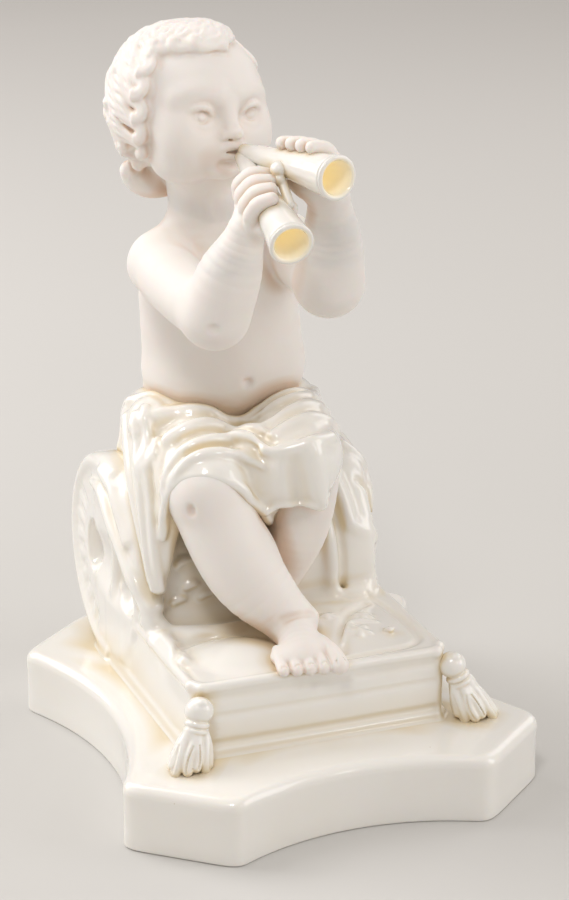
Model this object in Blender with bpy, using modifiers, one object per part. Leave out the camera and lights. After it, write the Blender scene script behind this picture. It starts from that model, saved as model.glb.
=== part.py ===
"""Seated minstrel figurine in porcelain, one cast piece, as a standalone Blender 4.5 script.

A child in a lap cloth sits on a rolled mattress and plays a double pipe. The script first lays
out plain forms (balls, tapered limbs and strands), merges them into one clay body, and then
adds what is crisp: the plinth with its canted corners, and the two pipes with their bores.
Lengths are in millimetres until they reach Blender, which gets metres. +Z is up, the child
faces -Y, and its left hand is towards +X.
"""

import math

import bmesh
import bpy
from mathutils import Euler, Matrix, Vector
from mathutils.bvhtree import BVHTree

MM = 0.001

# Plinth
PLINTH_WIDTH = 130.0
PLINTH_DEPTH = 143.4
PLINTH_HEIGHT = 20.0
CANT_WIDTH = 26.7
CANT_DEPTH = 22.8
FRONT_HOLLOW = 10.0
SIDE_HOLLOW = 13.5
PLINTH_EDGE = 2.4
FOOT_RIM = 7.0
FOOT_RECESS = 1.6
VENT_RADIUS = 4.0
VENT_DEPTH = 9.0

# Mattress: a flat slab in front that curls up behind into the seat
SLAB_WIDTH = 78.0
SLAB_FRONT = 41.0
SLAB_HEIGHT = 22.0
SLAB_EDGE = 3.2
ROLL_RADIUS = 32.0
ROLL_BACK = 36.5
ROLL_BAND = 6.5
SEAT_FRONT = 15.0
SEAT_CLOTH = 1.0

# Child
HEAD_WIDTH = 42.0
HEAD_TURN = 14.0
HEAD_BACK_TILT = 8.0
HEAD_LEAN = 4.0
HAIR_THICKNESS = 2.6
FINGER_RADIUS = 2.3
TOE_RADIUS = 2.15

# Hair: side curls as (longitude, latitude, size), and locks as paths of (longitude, latitude)
LOCKS = 15
LOCK_RADIUS = 1.8
LEFT_SHIFT = 12
SIDE_CURLS = [(76, 31, 4.0), (80, 12, 4.2), (82, -8, 4.2), (88, -27, 4.2)]
FRINGE = [
    [(40, 84), (-30, 72), (-56, 54), (-70, 42)],
    [(50, 80), (-8, 68), (-38, 50), (-56, 41)],
    [(60, 76), (10, 62), (-18, 48), (-34, 42)],
    [(70, 72), (30, 60), (4, 48), (-12, 43)],
    [(80, 70), (50, 58), (28, 49), (12, 47)],
    [(92, 66), (68, 57), (48, 51), (36, 50)],
    [(-20, 86), (-74, 74), (-84, 62), (-70, 50)],
]
NAPE = [
    [(150, -44), (125, -52), (104, -46)],
    [(175, -46), (155, -57), (130, -60)],
]

# Double pipe
PIPE_TIP_RADIUS = 1.9
BELL_RADIUS = 6.2
BORE_RADIUS = 4.9
BORE_DEPTH = 24.0
PIPE_SIDES = 24

# Tassels
TASSEL_KNOB = 4.0
TASSEL_HEIGHT = 15.0
TASSEL_STRANDS = 8

# Clay: cell of the merging grid, and the count of triangles that the sculpted body keeps
CELL = 0.8
FINE_ROUNDS = 4
CLAY_TRIANGLES = 9400
FINE_WEIGHT = 0.5
FINE_FACTOR = 3e-6

SLAB_TOP = PLINTH_HEIGHT + SLAB_HEIGHT
SEAT_TOP = PLINTH_HEIGHT + 2 * ROLL_RADIUS + SEAT_CLOTH
HEAD_CENTRE = (-15.5, 26.0, 106.5)
SINK = 2.0


def from_seat(x, y, z):
    """A point of the child, with z above the seat."""
    return Vector((x, y, SEAT_TOP + z))


def from_slab(x, y, z):
    """A point near the foot, with z above the slab."""
    return Vector((x, y, SLAB_TOP + z))


def head_frame():
    """The matrix from head space (x left, -y to the front, z up) to the figurine's millimetres."""
    turn = Matrix.Rotation(math.radians(HEAD_TURN), 4, "Z")
    back = Matrix.Rotation(math.radians(-HEAD_BACK_TILT), 4, "X")
    lean = Matrix.Rotation(math.radians(HEAD_LEAN), 4, "Y")
    return Matrix.Translation(from_seat(*HEAD_CENTRE)) @ turn @ lean @ back


# Scene and collections


def clear_scene():
    for thing in list(bpy.data.objects):
        bpy.data.objects.remove(thing, do_unlink=True)
    for group in list(bpy.data.collections):
        bpy.data.collections.remove(group)


def new_collection(name, hidden=False):
    group = bpy.data.collections.new(name)
    bpy.context.scene.collection.children.link(group)
    group.hide_render = hidden
    return group


def link(obj, group):
    for other in list(obj.users_collection):
        other.objects.unlink(obj)
    group.objects.link(obj)
    if group.hide_render:
        obj.hide_render = True
        obj.display_type = "WIRE"
    return obj


def mesh_copy(obj):
    """The object as its modifiers leave it, as a mesh in world space."""
    graph = bpy.context.evaluated_depsgraph_get()
    mesh = bpy.data.meshes.new_from_object(obj.evaluated_get(graph))
    mesh.transform(obj.matrix_world)
    return mesh


def baked(name, obj, group):
    """A new plain mesh object with the shape that obj now has."""
    bpy.context.view_layer.update()
    return link_new(name, mesh_copy(obj), group)


def link_new(name, mesh, group):
    obj = bpy.data.objects.new(name, mesh)
    group.objects.link(obj)
    if group.hide_render:
        obj.hide_render = True
        obj.display_type = "WIRE"
    return obj


# Forms that the clay is made of


def ball(name, centre, radii, group, turn=(0, 0, 0), frame=None):
    """An ellipsoid. The turn is in degrees about X, Y and Z, and frame is where it is laid out."""
    bpy.ops.mesh.primitive_uv_sphere_add(segments=24, ring_count=14, radius=1)
    obj = link(bpy.context.object, group)
    obj.name = name
    sizes = (radii,) * 3 if isinstance(radii, (int, float)) else radii
    angle = Euler([math.radians(a) for a in turn])
    place = Matrix.Translation(Vector(centre)) @ angle.to_matrix().to_4x4()
    place = (frame or Matrix.Identity(4)) @ place @ Matrix.Diagonal((*sizes, 1))
    obj.matrix_world = Matrix.Scale(MM, 4) @ place
    return obj


def block(name, centre, size, rounding, group, turn=(0, 0, 0)):
    """A box with rounded edges."""
    bpy.ops.mesh.primitive_cube_add(size=1)
    obj = link(bpy.context.object, group)
    obj.name = name
    obj.data.transform(Matrix.Diagonal((*(side * MM for side in size), 1)))
    obj.location = Vector(centre) * MM
    obj.rotation_euler = [math.radians(a) for a in turn]
    edge = obj.modifiers.new("rounding", "BEVEL")
    edge.width = rounding * MM
    edge.segments = 4
    return obj


def limb(name, route, group):
    """A tapered tube with round ends through a route of (point, radius)."""
    curve = bpy.data.curves.new(name, "CURVE")
    curve.dimensions = "3D"
    curve.bevel_depth = MM
    curve.bevel_resolution = 3
    curve.use_fill_caps = True
    curve.resolution_u = 8
    spline = curve.splines.new("NURBS")
    spline.points.add(len(route) - 1)
    spline.order_u = min(3, len(route))
    spline.use_endpoint_u = True
    for point, (place, radius) in zip(spline.points, route):
        point.co = (*(place * MM), 1)
        point.radius = radius
    obj = bpy.data.objects.new(name, curve)
    group.objects.link(obj)
    ends = [route[0], route[-1]]
    tips = [ball(f"{name}_end", place, radius, group) for place, radius in ends]
    return [obj, *tips]


def strand(name, route, group, surface=None, sink=0.45):
    """A limb whose points are laid on a surface, sunk by a share of its own radius."""
    if surface:
        route = [(laid(place, radius, surface, sink), radius) for place, radius in route]
    return limb(name, route, group)


def laid(place, radius, surface, sink):
    """The nearest point on the surface, raised so that a strand of this radius shows."""
    found, normal, _, _ = surface.find_nearest(place * MM)
    return found / MM + normal * radius * (1 - 2 * sink)


def surface_of(obj):
    mesh = obj.data
    corners = [vertex.co.copy() for vertex in mesh.vertices]
    return BVHTree.FromPolygons(corners, [tuple(face.vertices) for face in mesh.polygons])


def flat(forms):
    """One list of objects out of single objects and lists of them."""
    return [obj for form in forms for obj in (form if isinstance(form, list) else [form])]


def joined(name, forms, group):
    """All forms in one mesh, still as overlapping shells."""
    bpy.context.view_layer.update()
    whole = bmesh.new()
    for form in flat(forms):
        mesh = mesh_copy(form)
        whole.from_mesh(mesh)
        bpy.data.meshes.remove(mesh)
    mesh = bpy.data.meshes.new(name)
    whole.to_mesh(mesh)
    whole.free()
    return link_new(name, mesh, group)


def clay(name, forms, rounds, group):
    """The forms merged into one body on a fine grid, with the seams between them smoothed."""
    raw = joined(f"{name}_raw", forms, group)
    merge = raw.modifiers.new("merge", "REMESH")
    merge.mode = "VOXEL"
    merge.voxel_size = CELL * MM
    soften = raw.modifiers.new("soften", "SMOOTH")
    soften.factor = 0.5
    soften.iterations = int(rounds)
    body = baked(name, raw, group)
    keep_outer_shell(body)
    return body


def keep_outer_shell(obj):
    """Drops the inner shells that overlapping forms can enclose."""
    whole = bmesh.new()
    whole.from_mesh(obj.data)
    left = set(whole.verts)
    shells = []
    while left:
        front = [left.pop()]
        shell = list(front)
        while front:
            near = {edge.other_vert(v) for v in front for edge in v.link_edges} & left
            left -= near
            front = list(near)
            shell += front
        shells.append(shell)
    shells.sort(key=len)
    bmesh.ops.delete(whole, geom=[v for shell in shells[:-1] for v in shell], context="VERTS")
    whole.to_mesh(obj.data)
    whole.free()


# Plinth


def arc(start, end, hollow, steps):
    """Points from start to end along an arc that sags by hollow towards the plinth's middle."""
    half = (end - start) / 2
    middle = (start + end) / 2
    inward = -middle.normalized()
    radius = (half.length**2 + hollow**2) / (2 * hollow)
    centre = middle + inward * (hollow - radius)
    reach = math.asin(half.length / radius)
    along = half.normalized()
    turns = [-reach + 2 * reach * i / steps for i in range(steps + 1)]
    return [centre + (along * math.sin(a) + inward * math.cos(a)) * radius for a in turns]


def plinth_outline(inset=0.0):
    """The four hollow sides, run from corner to corner, so that the corners stay canted."""
    x = PLINTH_WIDTH / 2 - inset
    y = PLINTH_DEPTH / 2 - inset
    near_x = x - CANT_WIDTH + inset * 0.5
    near_y = y - CANT_DEPTH + inset * 0.5
    sides = [
        (Vector((-near_x, -y)), Vector((near_x, -y)), FRONT_HOLLOW),
        (Vector((x, -near_y)), Vector((x, near_y)), SIDE_HOLLOW),
        (Vector((near_x, y)), Vector((-near_x, y)), FRONT_HOLLOW),
        (Vector((-x, near_y)), Vector((-x, -near_y)), SIDE_HOLLOW),
    ]
    return [point for side in sides for point in arc(*side, steps=10)]


def slab_of_outline(name, outline, low, high, group):
    """A 2D curve of this outline, extruded between two heights and turned into a mesh."""
    curve = bpy.data.curves.new(name, "CURVE")
    curve.dimensions = "2D"
    curve.fill_mode = "BOTH"
    curve.extrude = (high - low) / 2 * MM
    spline = curve.splines.new("POLY")
    spline.points.add(len(outline) - 1)
    for point, place in zip(spline.points, outline):
        point.co = (place.x * MM, place.y * MM, 0, 1)
    spline.use_cyclic_u = True
    guide = bpy.data.objects.new(f"{name}_guide", curve)
    guide.location.z = (low + high) / 2 * MM
    group.objects.link(guide)
    obj = baked(name, guide, group)
    bpy.data.objects.remove(guide)
    whole = bmesh.new()
    whole.from_mesh(obj.data)
    bmesh.ops.remove_doubles(whole, verts=whole.verts, dist=1e-6)
    bmesh.ops.dissolve_limit(
        whole, angle_limit=math.radians(1), verts=whole.verts, edges=whole.edges
    )
    bmesh.ops.recalc_face_normals(whole, faces=whole.faces)
    whole.to_mesh(obj.data)
    whole.free()
    return obj


def cylinder(name, centre, radius, height, group, far_radius=None, sides=PIPE_SIDES):
    """A cylinder, or a cone where a far radius is given, standing on Z about its centre."""
    bpy.ops.mesh.primitive_cone_add(
        vertices=sides,
        radius1=radius * MM,
        radius2=(radius if far_radius is None else far_radius) * MM,
        depth=height * MM,
        location=Vector(centre) * MM,
    )
    obj = link(bpy.context.object, group)
    obj.name = name
    return obj


def boolean(obj, other, operation):
    cut = obj.modifiers.new(other.name, "BOOLEAN")
    cut.operation = operation
    cut.solver = "EXACT"
    cut.object = other


def plinth(forms, cutters):
    """The plinth with its rounded rim, foot recess and firing vent."""
    raw = slab_of_outline("plinth_raw", plinth_outline(), 0, PLINTH_HEIGHT, forms)
    rim = raw.modifiers.new("rim", "BEVEL")
    rim.width = PLINTH_EDGE * MM
    rim.segments = 2
    rim.limit_method = "ANGLE"
    rim.angle_limit = math.radians(30)
    inside = plinth_outline(FOOT_RIM)
    recess = slab_of_outline("foot_recess", inside, -SINK, FOOT_RECESS, cutters)
    vent = cylinder("vent", (0, 0, VENT_DEPTH / 2), VENT_RADIUS, VENT_DEPTH, cutters, sides=20)
    boolean(raw, recess, "DIFFERENCE")
    boolean(raw, vent, "DIFFERENCE")
    return baked("plinth", raw, forms)


# Mattress and seat


def roll_point(angle, inset=0.0):
    """A point (y, z) of the roll's outer skin, with the angle from the back, upwards."""
    reach = ROLL_RADIUS - inset
    turn = math.radians(angle)
    z = PLINTH_HEIGHT + ROLL_RADIUS + math.sin(turn) * reach
    return ROLL_BACK + math.cos(turn) * reach, z


def slab(group):
    """The flat front of the mattress, with a soft pillow on top and a groove inside its border."""
    half = SLAB_WIDTH / 2
    depth = SLAB_FRONT + ROLL_BACK
    height = SLAB_HEIGHT + SINK
    middle = (-1.5, ROLL_BACK - depth / 2, PLINTH_HEIGHT + height / 2 - SINK)
    body = block("slab", middle, (SLAB_WIDTH, depth, height), SLAB_EDGE, group)
    pillow = ball("pillow", from_slab(-20, -23, -6), (16.5, 16, 9.2), group)
    far_pillow = ball("far_pillow", from_slab(16, -16, -7), (17, 22, 8.6), group)
    front = -SLAB_FRONT + 1.0
    left, right = -half - 1.5, half - 1.5
    lip = [(left, ROLL_BACK - 8), (left, front), (right, front), (right, SEAT_FRONT)]
    heights = [from_slab(x, y, -2.0) for x, y in lip]
    border = [limb("border", [(a, 2.2), (b, 2.2)], group) for a, b in zip(heights, heights[1:])]
    foot = [Vector((x, y, PLINTH_HEIGHT + 1.2)) for x, y in lip]
    welt = [limb("welt", [(a, 1.7), (b, 1.7)], group) for a, b in zip(foot, foot[1:])]
    return [body, pillow, far_pillow, *border, *welt]


def roll(group):
    """The back of the mattress, curled up into the seat, with a raised rim round its left end."""
    length = SLAB_WIDTH - 4
    core = cylinder("roll_core", (-2, ROLL_BACK, PLINTH_HEIGHT + ROLL_RADIUS), ROLL_RADIUS - 1,
                    length, group, sides=48)
    core.rotation_euler = (0, math.pi / 2, 0)
    seat_height = SEAT_TOP - PLINTH_HEIGHT - 4
    seat_middle = (-1, (SEAT_FRONT + ROLL_BACK + 12) / 2, PLINTH_HEIGHT + seat_height / 2)
    seat_size = (SLAB_WIDTH - 4, ROLL_BACK + 12 - SEAT_FRONT, seat_height)
    seat = block("seat", seat_middle, seat_size, 6.5, group)
    side = -SLAB_WIDTH / 2 + 0.6
    turns = range(-95, 116, 15)
    band = ROLL_BAND * 0.54
    rim = [(Vector((side, *roll_point(angle, band))), band) for angle in turns]
    lining = [(Vector((side, *roll_point(angle, band * 2.6))), band) for angle in turns]
    return [core, seat, limb("roll_rim", rim, group), limb("roll_lining", lining, group)]


def seat_cloth(group):
    """The cloth thrown over the seat, which falls down its left end and spreads on the slab."""
    side = -SLAB_WIDTH / 2 - 2.5
    ridge = [(46, -12), (35, -13.5), (27, -16), (19, -22), (12, -30), (6, -36), (0, -40), (-6, -43)]
    second = [(22, -22), (23, -29), (25, -36), (28, -42)]
    upper = [(36, -4), (28, -3), (21, -10), (14, -19)]
    crown = [(-35, 55, -10, 3.0), (-38, 44, -4.5, 5.0), (-37, 32, -5, 6.0), (-35, 24, -12, 6.0)]
    flank = [(-37, 46, -13, 4.0), (-38, 36, -13, 5.0), (-37.4, 26, -20, 5.0), (-36.4, 18, -28, 4.0)]
    skirt = [
        limb("cloth_fold", [(from_seat(side, y, z), 2.7) for y, z in ridge], group),
        limb("cloth_branch", [(from_seat(side + 1, y, z), 2.0) for y, z in second], group),
        limb("cloth_upper", [(from_seat(side + 0.6, y, z), 2.2) for y, z in upper], group),
        limb("cloth_crown", [(from_seat(x, y, z), width) for x, y, z, width in crown], group),
        limb("cloth_flank", [(from_seat(x, y, z), width) for x, y, z, width in flank], group),
    ]
    right = SLAB_WIDTH / 2 - 4.2
    for offset, width in ((0, 4.0), (8.5, 3.4), (17, 3.2)):
        route = [
            (from_seat(right, 31 + offset, -7), width),
            (from_seat(right + 0.8, 20 + offset, -16), width),
            (from_seat(right + 0.8, 17 + offset, -42), width * 0.9),
        ]
        skirt.append(limb("cloth_right", route, group))
    for x, width in ((23, 3.4), (30, 3.0)):
        route = [
            (from_seat(x, 18, -12), width),
            (from_seat(x + 1, 15, -26), width),
            (from_seat(x + 2, 14, -42), width),
        ]
        skirt.append(limb("cloth_front", route, group))
    spread = [(-37, 3, 0.6), (-28, -5, 1.0), (-17, -8, 0.8), (-6, -5, 0.4)]
    route = [(from_slab(x, y, z), 2.6) for x, y, z in spread]
    skirt.append(limb("cloth_spread", route, group))
    inner = [(-33, 9, 1.5), (-22, 2, 2.2), (-10, 1, 1.8), (2, 6, 1.0)]
    skirt.append(limb("cloth_inner", [(from_slab(x, y, z), 3.0) for x, y, z in inner], group))
    return skirt


def tassel(name, corner, foot, group):
    """A tassel: a knob at the slab's corner, a bound neck, and a skirt of strands on the plinth."""
    knob = ball(f"{name}_knob", corner, TASSEL_KNOB, group)
    neck = corner + (foot - corner) * 0.2
    forms = [knob, ball(f"{name}_band", neck, (3.4, 3.2, 2.0), group)]
    for i in range(TASSEL_STRANDS):
        turn = 2 * math.pi * (i + 0.5) / TASSEL_STRANDS
        spread = Vector((math.cos(turn) * 5.6, math.sin(turn) * 3.6, 0))
        end = foot + spread + Vector((0, 0, 1.2))
        waist = neck + (foot - neck) * 0.5 + spread * 0.85
        forms.append(limb(f"{name}_strand", [(neck, 1.5), (waist, 2.1), (end, 1.7)], group))
    forms.append(ball(f"{name}_heart", foot + Vector((0, 0, 5)), (5, 3.2, 6), group))
    return forms


def tassels(group):
    half = SLAB_WIDTH / 2
    front = -SLAB_FRONT
    z = PLINTH_HEIGHT
    hang = z + TASSEL_HEIGHT + 1
    left = tassel("left_tassel", Vector((-half - 0.5, front - 2.5, hang)),
                  Vector((-half - 5, front - 6, z)), group)
    right = tassel("right_tassel", Vector((half + 0.5, front + 0.5, hang)),
                   Vector((half + 7.5, front - 3, z)), group)
    return [*left, *right]


# Child


def torso(group):
    """Hips, belly, chest, shoulders and neck."""
    forms = [
        ball("hips", from_seat(-4, 37, 12), (25, 19.5, 14), group),
        ball("belly", from_seat(-4, 32.5, 26), (25, 21, 19), group),
        ball("waist", from_seat(-5, 32, 38), (24.5, 18.5, 18), group),
        ball("ribs", from_seat(-6, 31, 49), (24.5, 17.5, 19), group),
        ball("right_breast", from_seat(-15.5, 19, 54), (9, 6, 8), group),
        ball("left_breast", from_seat(2, 19.5, 55), (9, 6, 8), group),
        ball("back", from_seat(-6, 36, 50), (18, 14, 18), group),
    ]
    shoulders = [((-25.5, 27, 60.5), 9), ((-9, 30, 65), 10.5), ((13.5, 28, 62.5), 9)]
    neck = [((-9.5, 30, 66), 11.5), ((-11.5, 28, 76), 9.6), ((-13.5, 26.5, 88), 10)]
    slope = [((-25, 28, 63), 6), ((-15, 29, 69), 7.5), ((-9, 30, 74), 7), ((-2, 31, 70), 7.5),
             ((11, 30, 65), 6)]
    forms.append(limb("shoulders", seated(shoulders), group))
    forms.append(limb("neck_slope", seated(slope), group))
    forms.append(limb("neck", seated(neck), group))
    return forms


def seated(route):
    return [(from_seat(*place), radius) for place, radius in route]


def arms(group):
    """Both arms, bent so that the hands meet the pipes."""
    routes = {
        "right_upper_arm": [((-25.5, 26, 60.5), 9.2), ((-26, 8, 57), 9.4), ((-22.5, -11, 56), 9)],
        "right_forearm": [((-22.5, -12, 55.5), 9.6), ((-20, -14.5, 66), 9.9),
                          ((-17, -17, 75), 6.6), ((-15, -18.5, 83), 4.3)],
        "left_upper_arm": [((13.5, 27, 62.5), 9.2), ((14, 8, 62), 9.2), ((11.5, -11, 62), 9.4)],
        "left_forearm": [((11.5, -13, 62), 10), ((11, -16, 73), 9.2),
                         ((9, -19.5, 83), 6.6), ((7, -22, 92), 5.0)],
    }
    return [limb(name, seated(route), group) for name, route in routes.items()]


def head(group):
    """The skull and a calm child's face, on common proportions of the head's width."""
    frame = head_frame()
    unit = HEAD_WIDTH / 42

    def lump(name, centre, radii, turn=(0, 0, 0)):
        sizes = [radius * unit for radius in radii]
        return ball(name, Vector(centre) * unit, sizes, group, turn, frame)

    def ridge(name, route):
        points = [(frame @ (Vector(place) * unit), radius * unit) for place, radius in route]
        return limb(name, points, group)

    forms = [
        lump("skull", (0, 2, 3), (20.8, 22.2, 20)),
        lump("jaw", (0, -6, -7.5), (15.8, 13.5, 12.3)),
        lump("chin", (0, -15, -16.2), (4.8, 3.8, 3.6)),
        lump("muzzle", (0, -15.2, -11.2), (6.4, 4.6, 4.6)),
        lump("nose_tip", (0, -21.2, -6.4), (2.3, 2.2, 1.9)),
        ridge("nose_bridge", [((0, -18.6, 1.5), 1.6), ((0, -19.4, -2.5), 1.6), ((0, -20.8, -6), 1.8)]),
        ridge("upper_lip", [((-3.6, -17.8, -11.2), 1.1), ((0, -20.2, -10.2), 1.5),
                            ((3.6, -17.8, -11.2), 1.1)]),
        ridge("lower_lip", [((-3.2, -17.6, -12.1), 1.0), ((0, -19.7, -13.2), 1.5),
                            ((3.2, -17.6, -12.1), 1.0)]),
    ]
    for side, mark in ((-1, "right"), (1, "left")):
        forms += [
            lump(f"{mark}_cheek", (side * 9.6, -12.4, -8.8), (7.4, 6.4, 7)),
            lump(f"{mark}_eye", (side * 7.8, -16.2, -0.6), (3.7, 3.0, 2.4)),
            lump(f"{mark}_nostril", (side * 2.1, -19.6, -7.2), (1.6, 1.6, 1.3)),
            lump(f"{mark}_ear", (side * 19.2, 1.5, -4), (2.4, 4.2, 5.8)),
            ridge(f"{mark}_brow", [((side * 3.2, -18.3, 4), 1.5), ((side * 8.5, -17.4, 5.2), 1.6),
                                   ((side * 13.5, -13.8, 3.2), 1.3)]),
        ]
    return forms


def on_hair(longitude, latitude, lift=0.0):
    """A point on the hair's skin. Longitude 0 is over the nose, and 90 over the left ear."""
    around = math.radians(longitude)
    up = math.radians(latitude)
    grown = HAIR_THICKNESS + lift
    sizes = (20.8 + grown, 22.2 + grown, 20 + grown)
    x = math.sin(around) * math.cos(up) * sizes[0]
    y = -math.cos(around) * math.cos(up) * sizes[1] + 2
    z = math.sin(up) * sizes[2] + 3
    return head_frame() @ (Vector((x, y, z)) * (HEAD_WIDTH / 42))


def hair(group):
    """A cap of hair with waved locks that run from the crown to curled ends."""
    frame = head_frame()
    unit = HEAD_WIDTH / 42
    cap_sizes = [radius * unit for radius in (21.2, 19.4, 20.8)]
    back_sizes = [radius * unit for radius in (19.2, 13.4, 12.6)]
    forms = [
        ball("hair_cap", Vector((0.6, 6.2, 4.2)) * unit, cap_sizes, group, frame=frame),
        ball("hair_back", Vector((0, 11, -7)) * unit, back_sizes, group, frame=frame),
    ]
    for index in range(LOCKS):
        longitude = 70 + index * 220 / (LOCKS - 1)
        swing = 6 if index % 2 else -6
        low = -44 if 110 < longitude < 250 else -30
        steps = [(72, 0), (52, 1), (34, -1), (16, 1), (low / 2, -1), (low, 1.4)]
        route = [(on_hair(longitude + swing * side, lat, -0.6), LOCK_RADIUS) for lat, side in steps]
        forms.append(limb("lock", route, group))
    for side in (-1, 1):
        for longitude, latitude, size in SIDE_CURLS:
            around = longitude + LEFT_SHIFT if side > 0 else -longitude
            forms += curl("side_curl", around, latitude, size, side, group)
    for path in FRINGE:
        route = [(on_hair(longitude, latitude, -1.0), LOCK_RADIUS * 1.2) for longitude, latitude in path]
        forms.append(limb("fringe", route, group))
    for path in NAPE:
        route = [(on_hair(longitude, latitude, 1.6), LOCK_RADIUS * 1.9) for longitude, latitude in path]
        forms.append(limb("nape_curl", route, group))
    swept = [((-33, 35, 86.5), 3.4), ((-30, 38, 83), 4.6), ((-24, 38.5, 80.5), 4.8), ((-16, 41, 81), 4.2)]
    forms.append(limb("nape_lock", seated(swept), group))
    return forms


def curl(name, longitude, latitude, size, side, group):
    """A lock that winds once round itself and ends in its own middle."""
    route = []
    for step in range(7):
        turn = math.radians(side * (200 - step * 62))
        reach = size * (1 - step * 0.13)
        place = on_hair(longitude + reach * math.cos(turn) * 2.6,
                        latitude + reach * math.sin(turn) * 2.6, 0.2 + step * 0.18)
        route.append((place, LOCK_RADIUS * (1 - step * 0.05)))
    return limb(name, route, group)


def lap(group):
    """Thighs, hips and knees under the lap cloth, with the cloth stretched between them."""
    routes = {
        "right_thigh": [((-17, 34, 8), 15), ((-20, 16, 5), 14), ((-22.5, -2, 2.5), 12)],
        "left_thigh": [((9, 34, 9), 15), ((9.5, 14, 9), 14), ((8, -6, 8), 12)],
        "hip_cloth": [((-26, 34, 16), 9), ((-4, 22, 15), 9), ((18, 34, 18), 8.5)],
    }
    forms = [limb(name, seated(route), group) for name, route in routes.items()]
    forms.append(ball("lap_web", from_seat(-7, 8, 3), (13, 15, 9), group))
    between = [((-8, -3, 9), 8), ((-7.5, -6, 2), 7.5), ((-5.5, -5.5, -5), 5.2), ((-5, -4, -8), 3.4)]
    forms.append(limb("cloth_between_knees", seated(between), group))
    forms.append(block("knee_drape", from_seat(3, -8.4, 6.6), (20.5, 21, 22), 5.2, group, (8, 0, -8)))
    forms.append(ball("seat_cover", from_seat(-3, 36, 2), (34, 21, 9), group))
    tail = [((-32, 24, 14), 7), ((-35.5, 14, 4), 7), ((-37.5, 7, -10), 6), ((-39, 1, -23), 3.6)]
    forms.append(limb("tail", seated(tail), group))
    inner_tail = [((-30, 6, 6), 6), ((-33, 2, -4), 5.4), ((-36, 0, -15), 3.6)]
    forms.append(limb("inner_tail", seated(inner_tail), group))
    return forms


def lap_folds(surface, group):
    """The folds of the lap cloth, each laid on the clay below."""
    folds = {
        "waist_hem": ([(-31, 30, 21.5), (-21, 18, 20.5), (-10, 14, 18.5), (-2, 13, 17)], 1.6),
        "hip_fold": ([(-5, 12, 16), (5, 11, 21.5), (15, 16, 22), (24, 34, 19)], 1.8),
        "hip_second": ([(-5, 8, 17), (8, 7, 21), (17, 13, 19), (24, 24, 14)], 1.8),
        "thigh_fold": ([(-6, -2, 16), (4, 0, 20.5), (12, 2, 20), (19, 10, 14)], 1.7),
        "thigh_low": ([(-7, -9, 16), (3, -7, 20), (11, -5, 18), (17, 0, 12)], 1.5),
        "cross_high": ([(-4, 9, 15), (-15, 13, 18), (-26, 17, 18), (-34, 20, 13)], 2.2),
        "cross_middle": ([(-6, -5, 15), (-13, 6, 15), (-24, 6, 16), (-31, 7, 12), (-35, 8, 5)], 2.3),
        "cross_low": ([(-7, -11, 14), (-15, -1, 14), (-25, -3, 14), (-33, -3, 8), (-35, -3, -9)], 2.0),
        "knee_fold": ([(-8, -11, 9), (-16, -8, 12.5), (-25, -8, 13), (-34, -6, 5)], 1.6),
        "knee_hem": ([(-3, -8, -14), (-8, -13, -7), (-15, -15.6, 3), (-23, -13.4, 8), (-31, -8, 7),
                      (-35.6, -5, -1), (-37, -3, -12)], 1.7),
        "knee_top": ([(-8, -13, 14), (1, -18, 17), (8, -17, 17), (13, -13, 16)], 1.5),
        "drape_hem": ([(-7.4, -14, -5.6), (-4, -18, -5.4), (7.6, -18.6, -5.4), (14, -14, -4.6)], 1.2),
        "drape_ridge": ([(4.8, -18.6, 13), (5.8, -19.4, 4), (7.4, -19.2, -2)], 1.6),
        "tail_outer": ([(-37, 30, 14), (-42, 21, 5), (-43, 13, -5), (-42, 8, -15)], 1.8),
        "tail_middle": ([(-38, 20, 17), (-41, 11, 7), (-43, 5, -6), (-41.5, 0, -19)], 1.7),
        "tail_edge": ([(-35, 20, 19), (-37, 13, 12), (-40, 4, -7), (-40, 0, -19)], 1.6),
        "tail_inner": ([(-33, 8, 12), (-35.5, 2, 4), (-38, -1, -5), (-39, -2, -15)], 1.5),
        "back_hem": ([(-20, 56, 18), (-4, 60, 18), (13, 56, 18), (23, 44, 18)], 1.5),
        "back_fold": ([(-24, 55, 8), (-8, 61, 10), (10, 58, 8), (22, 50, 11)], 1.5),
    }
    return [
        strand(name, [(from_seat(*place), radius) for place in path], group, surface)
        for name, (path, radius) in folds.items()
    ]


def legs(group):
    """The right leg with its bare foot on the slab, and the left leg crossed behind it."""
    knee = from_seat(-22.5, -4, 0)
    calf = [
        (knee, 11.8),
        (from_seat(-19.5, -9, -12), 11.4),
        (from_slab(-14, -14, 19), 11.2),
        (from_slab(-6.5, -18, 10), 8.4),
        (from_slab(-2.5, -20, 5.5), 6.8),
    ]
    far_calf = [
        (from_seat(8, -6, 0), 10),
        (from_seat(7, -4, -12), 9.6),
        (from_slab(3, 1, 16), 7.8),
        (from_slab(-1, 2, 7), 6),
        (from_slab(-3, 0, 3), 5),
    ]
    return [limb("right_calf", calf, group), limb("left_calf", far_calf, group)]


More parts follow.
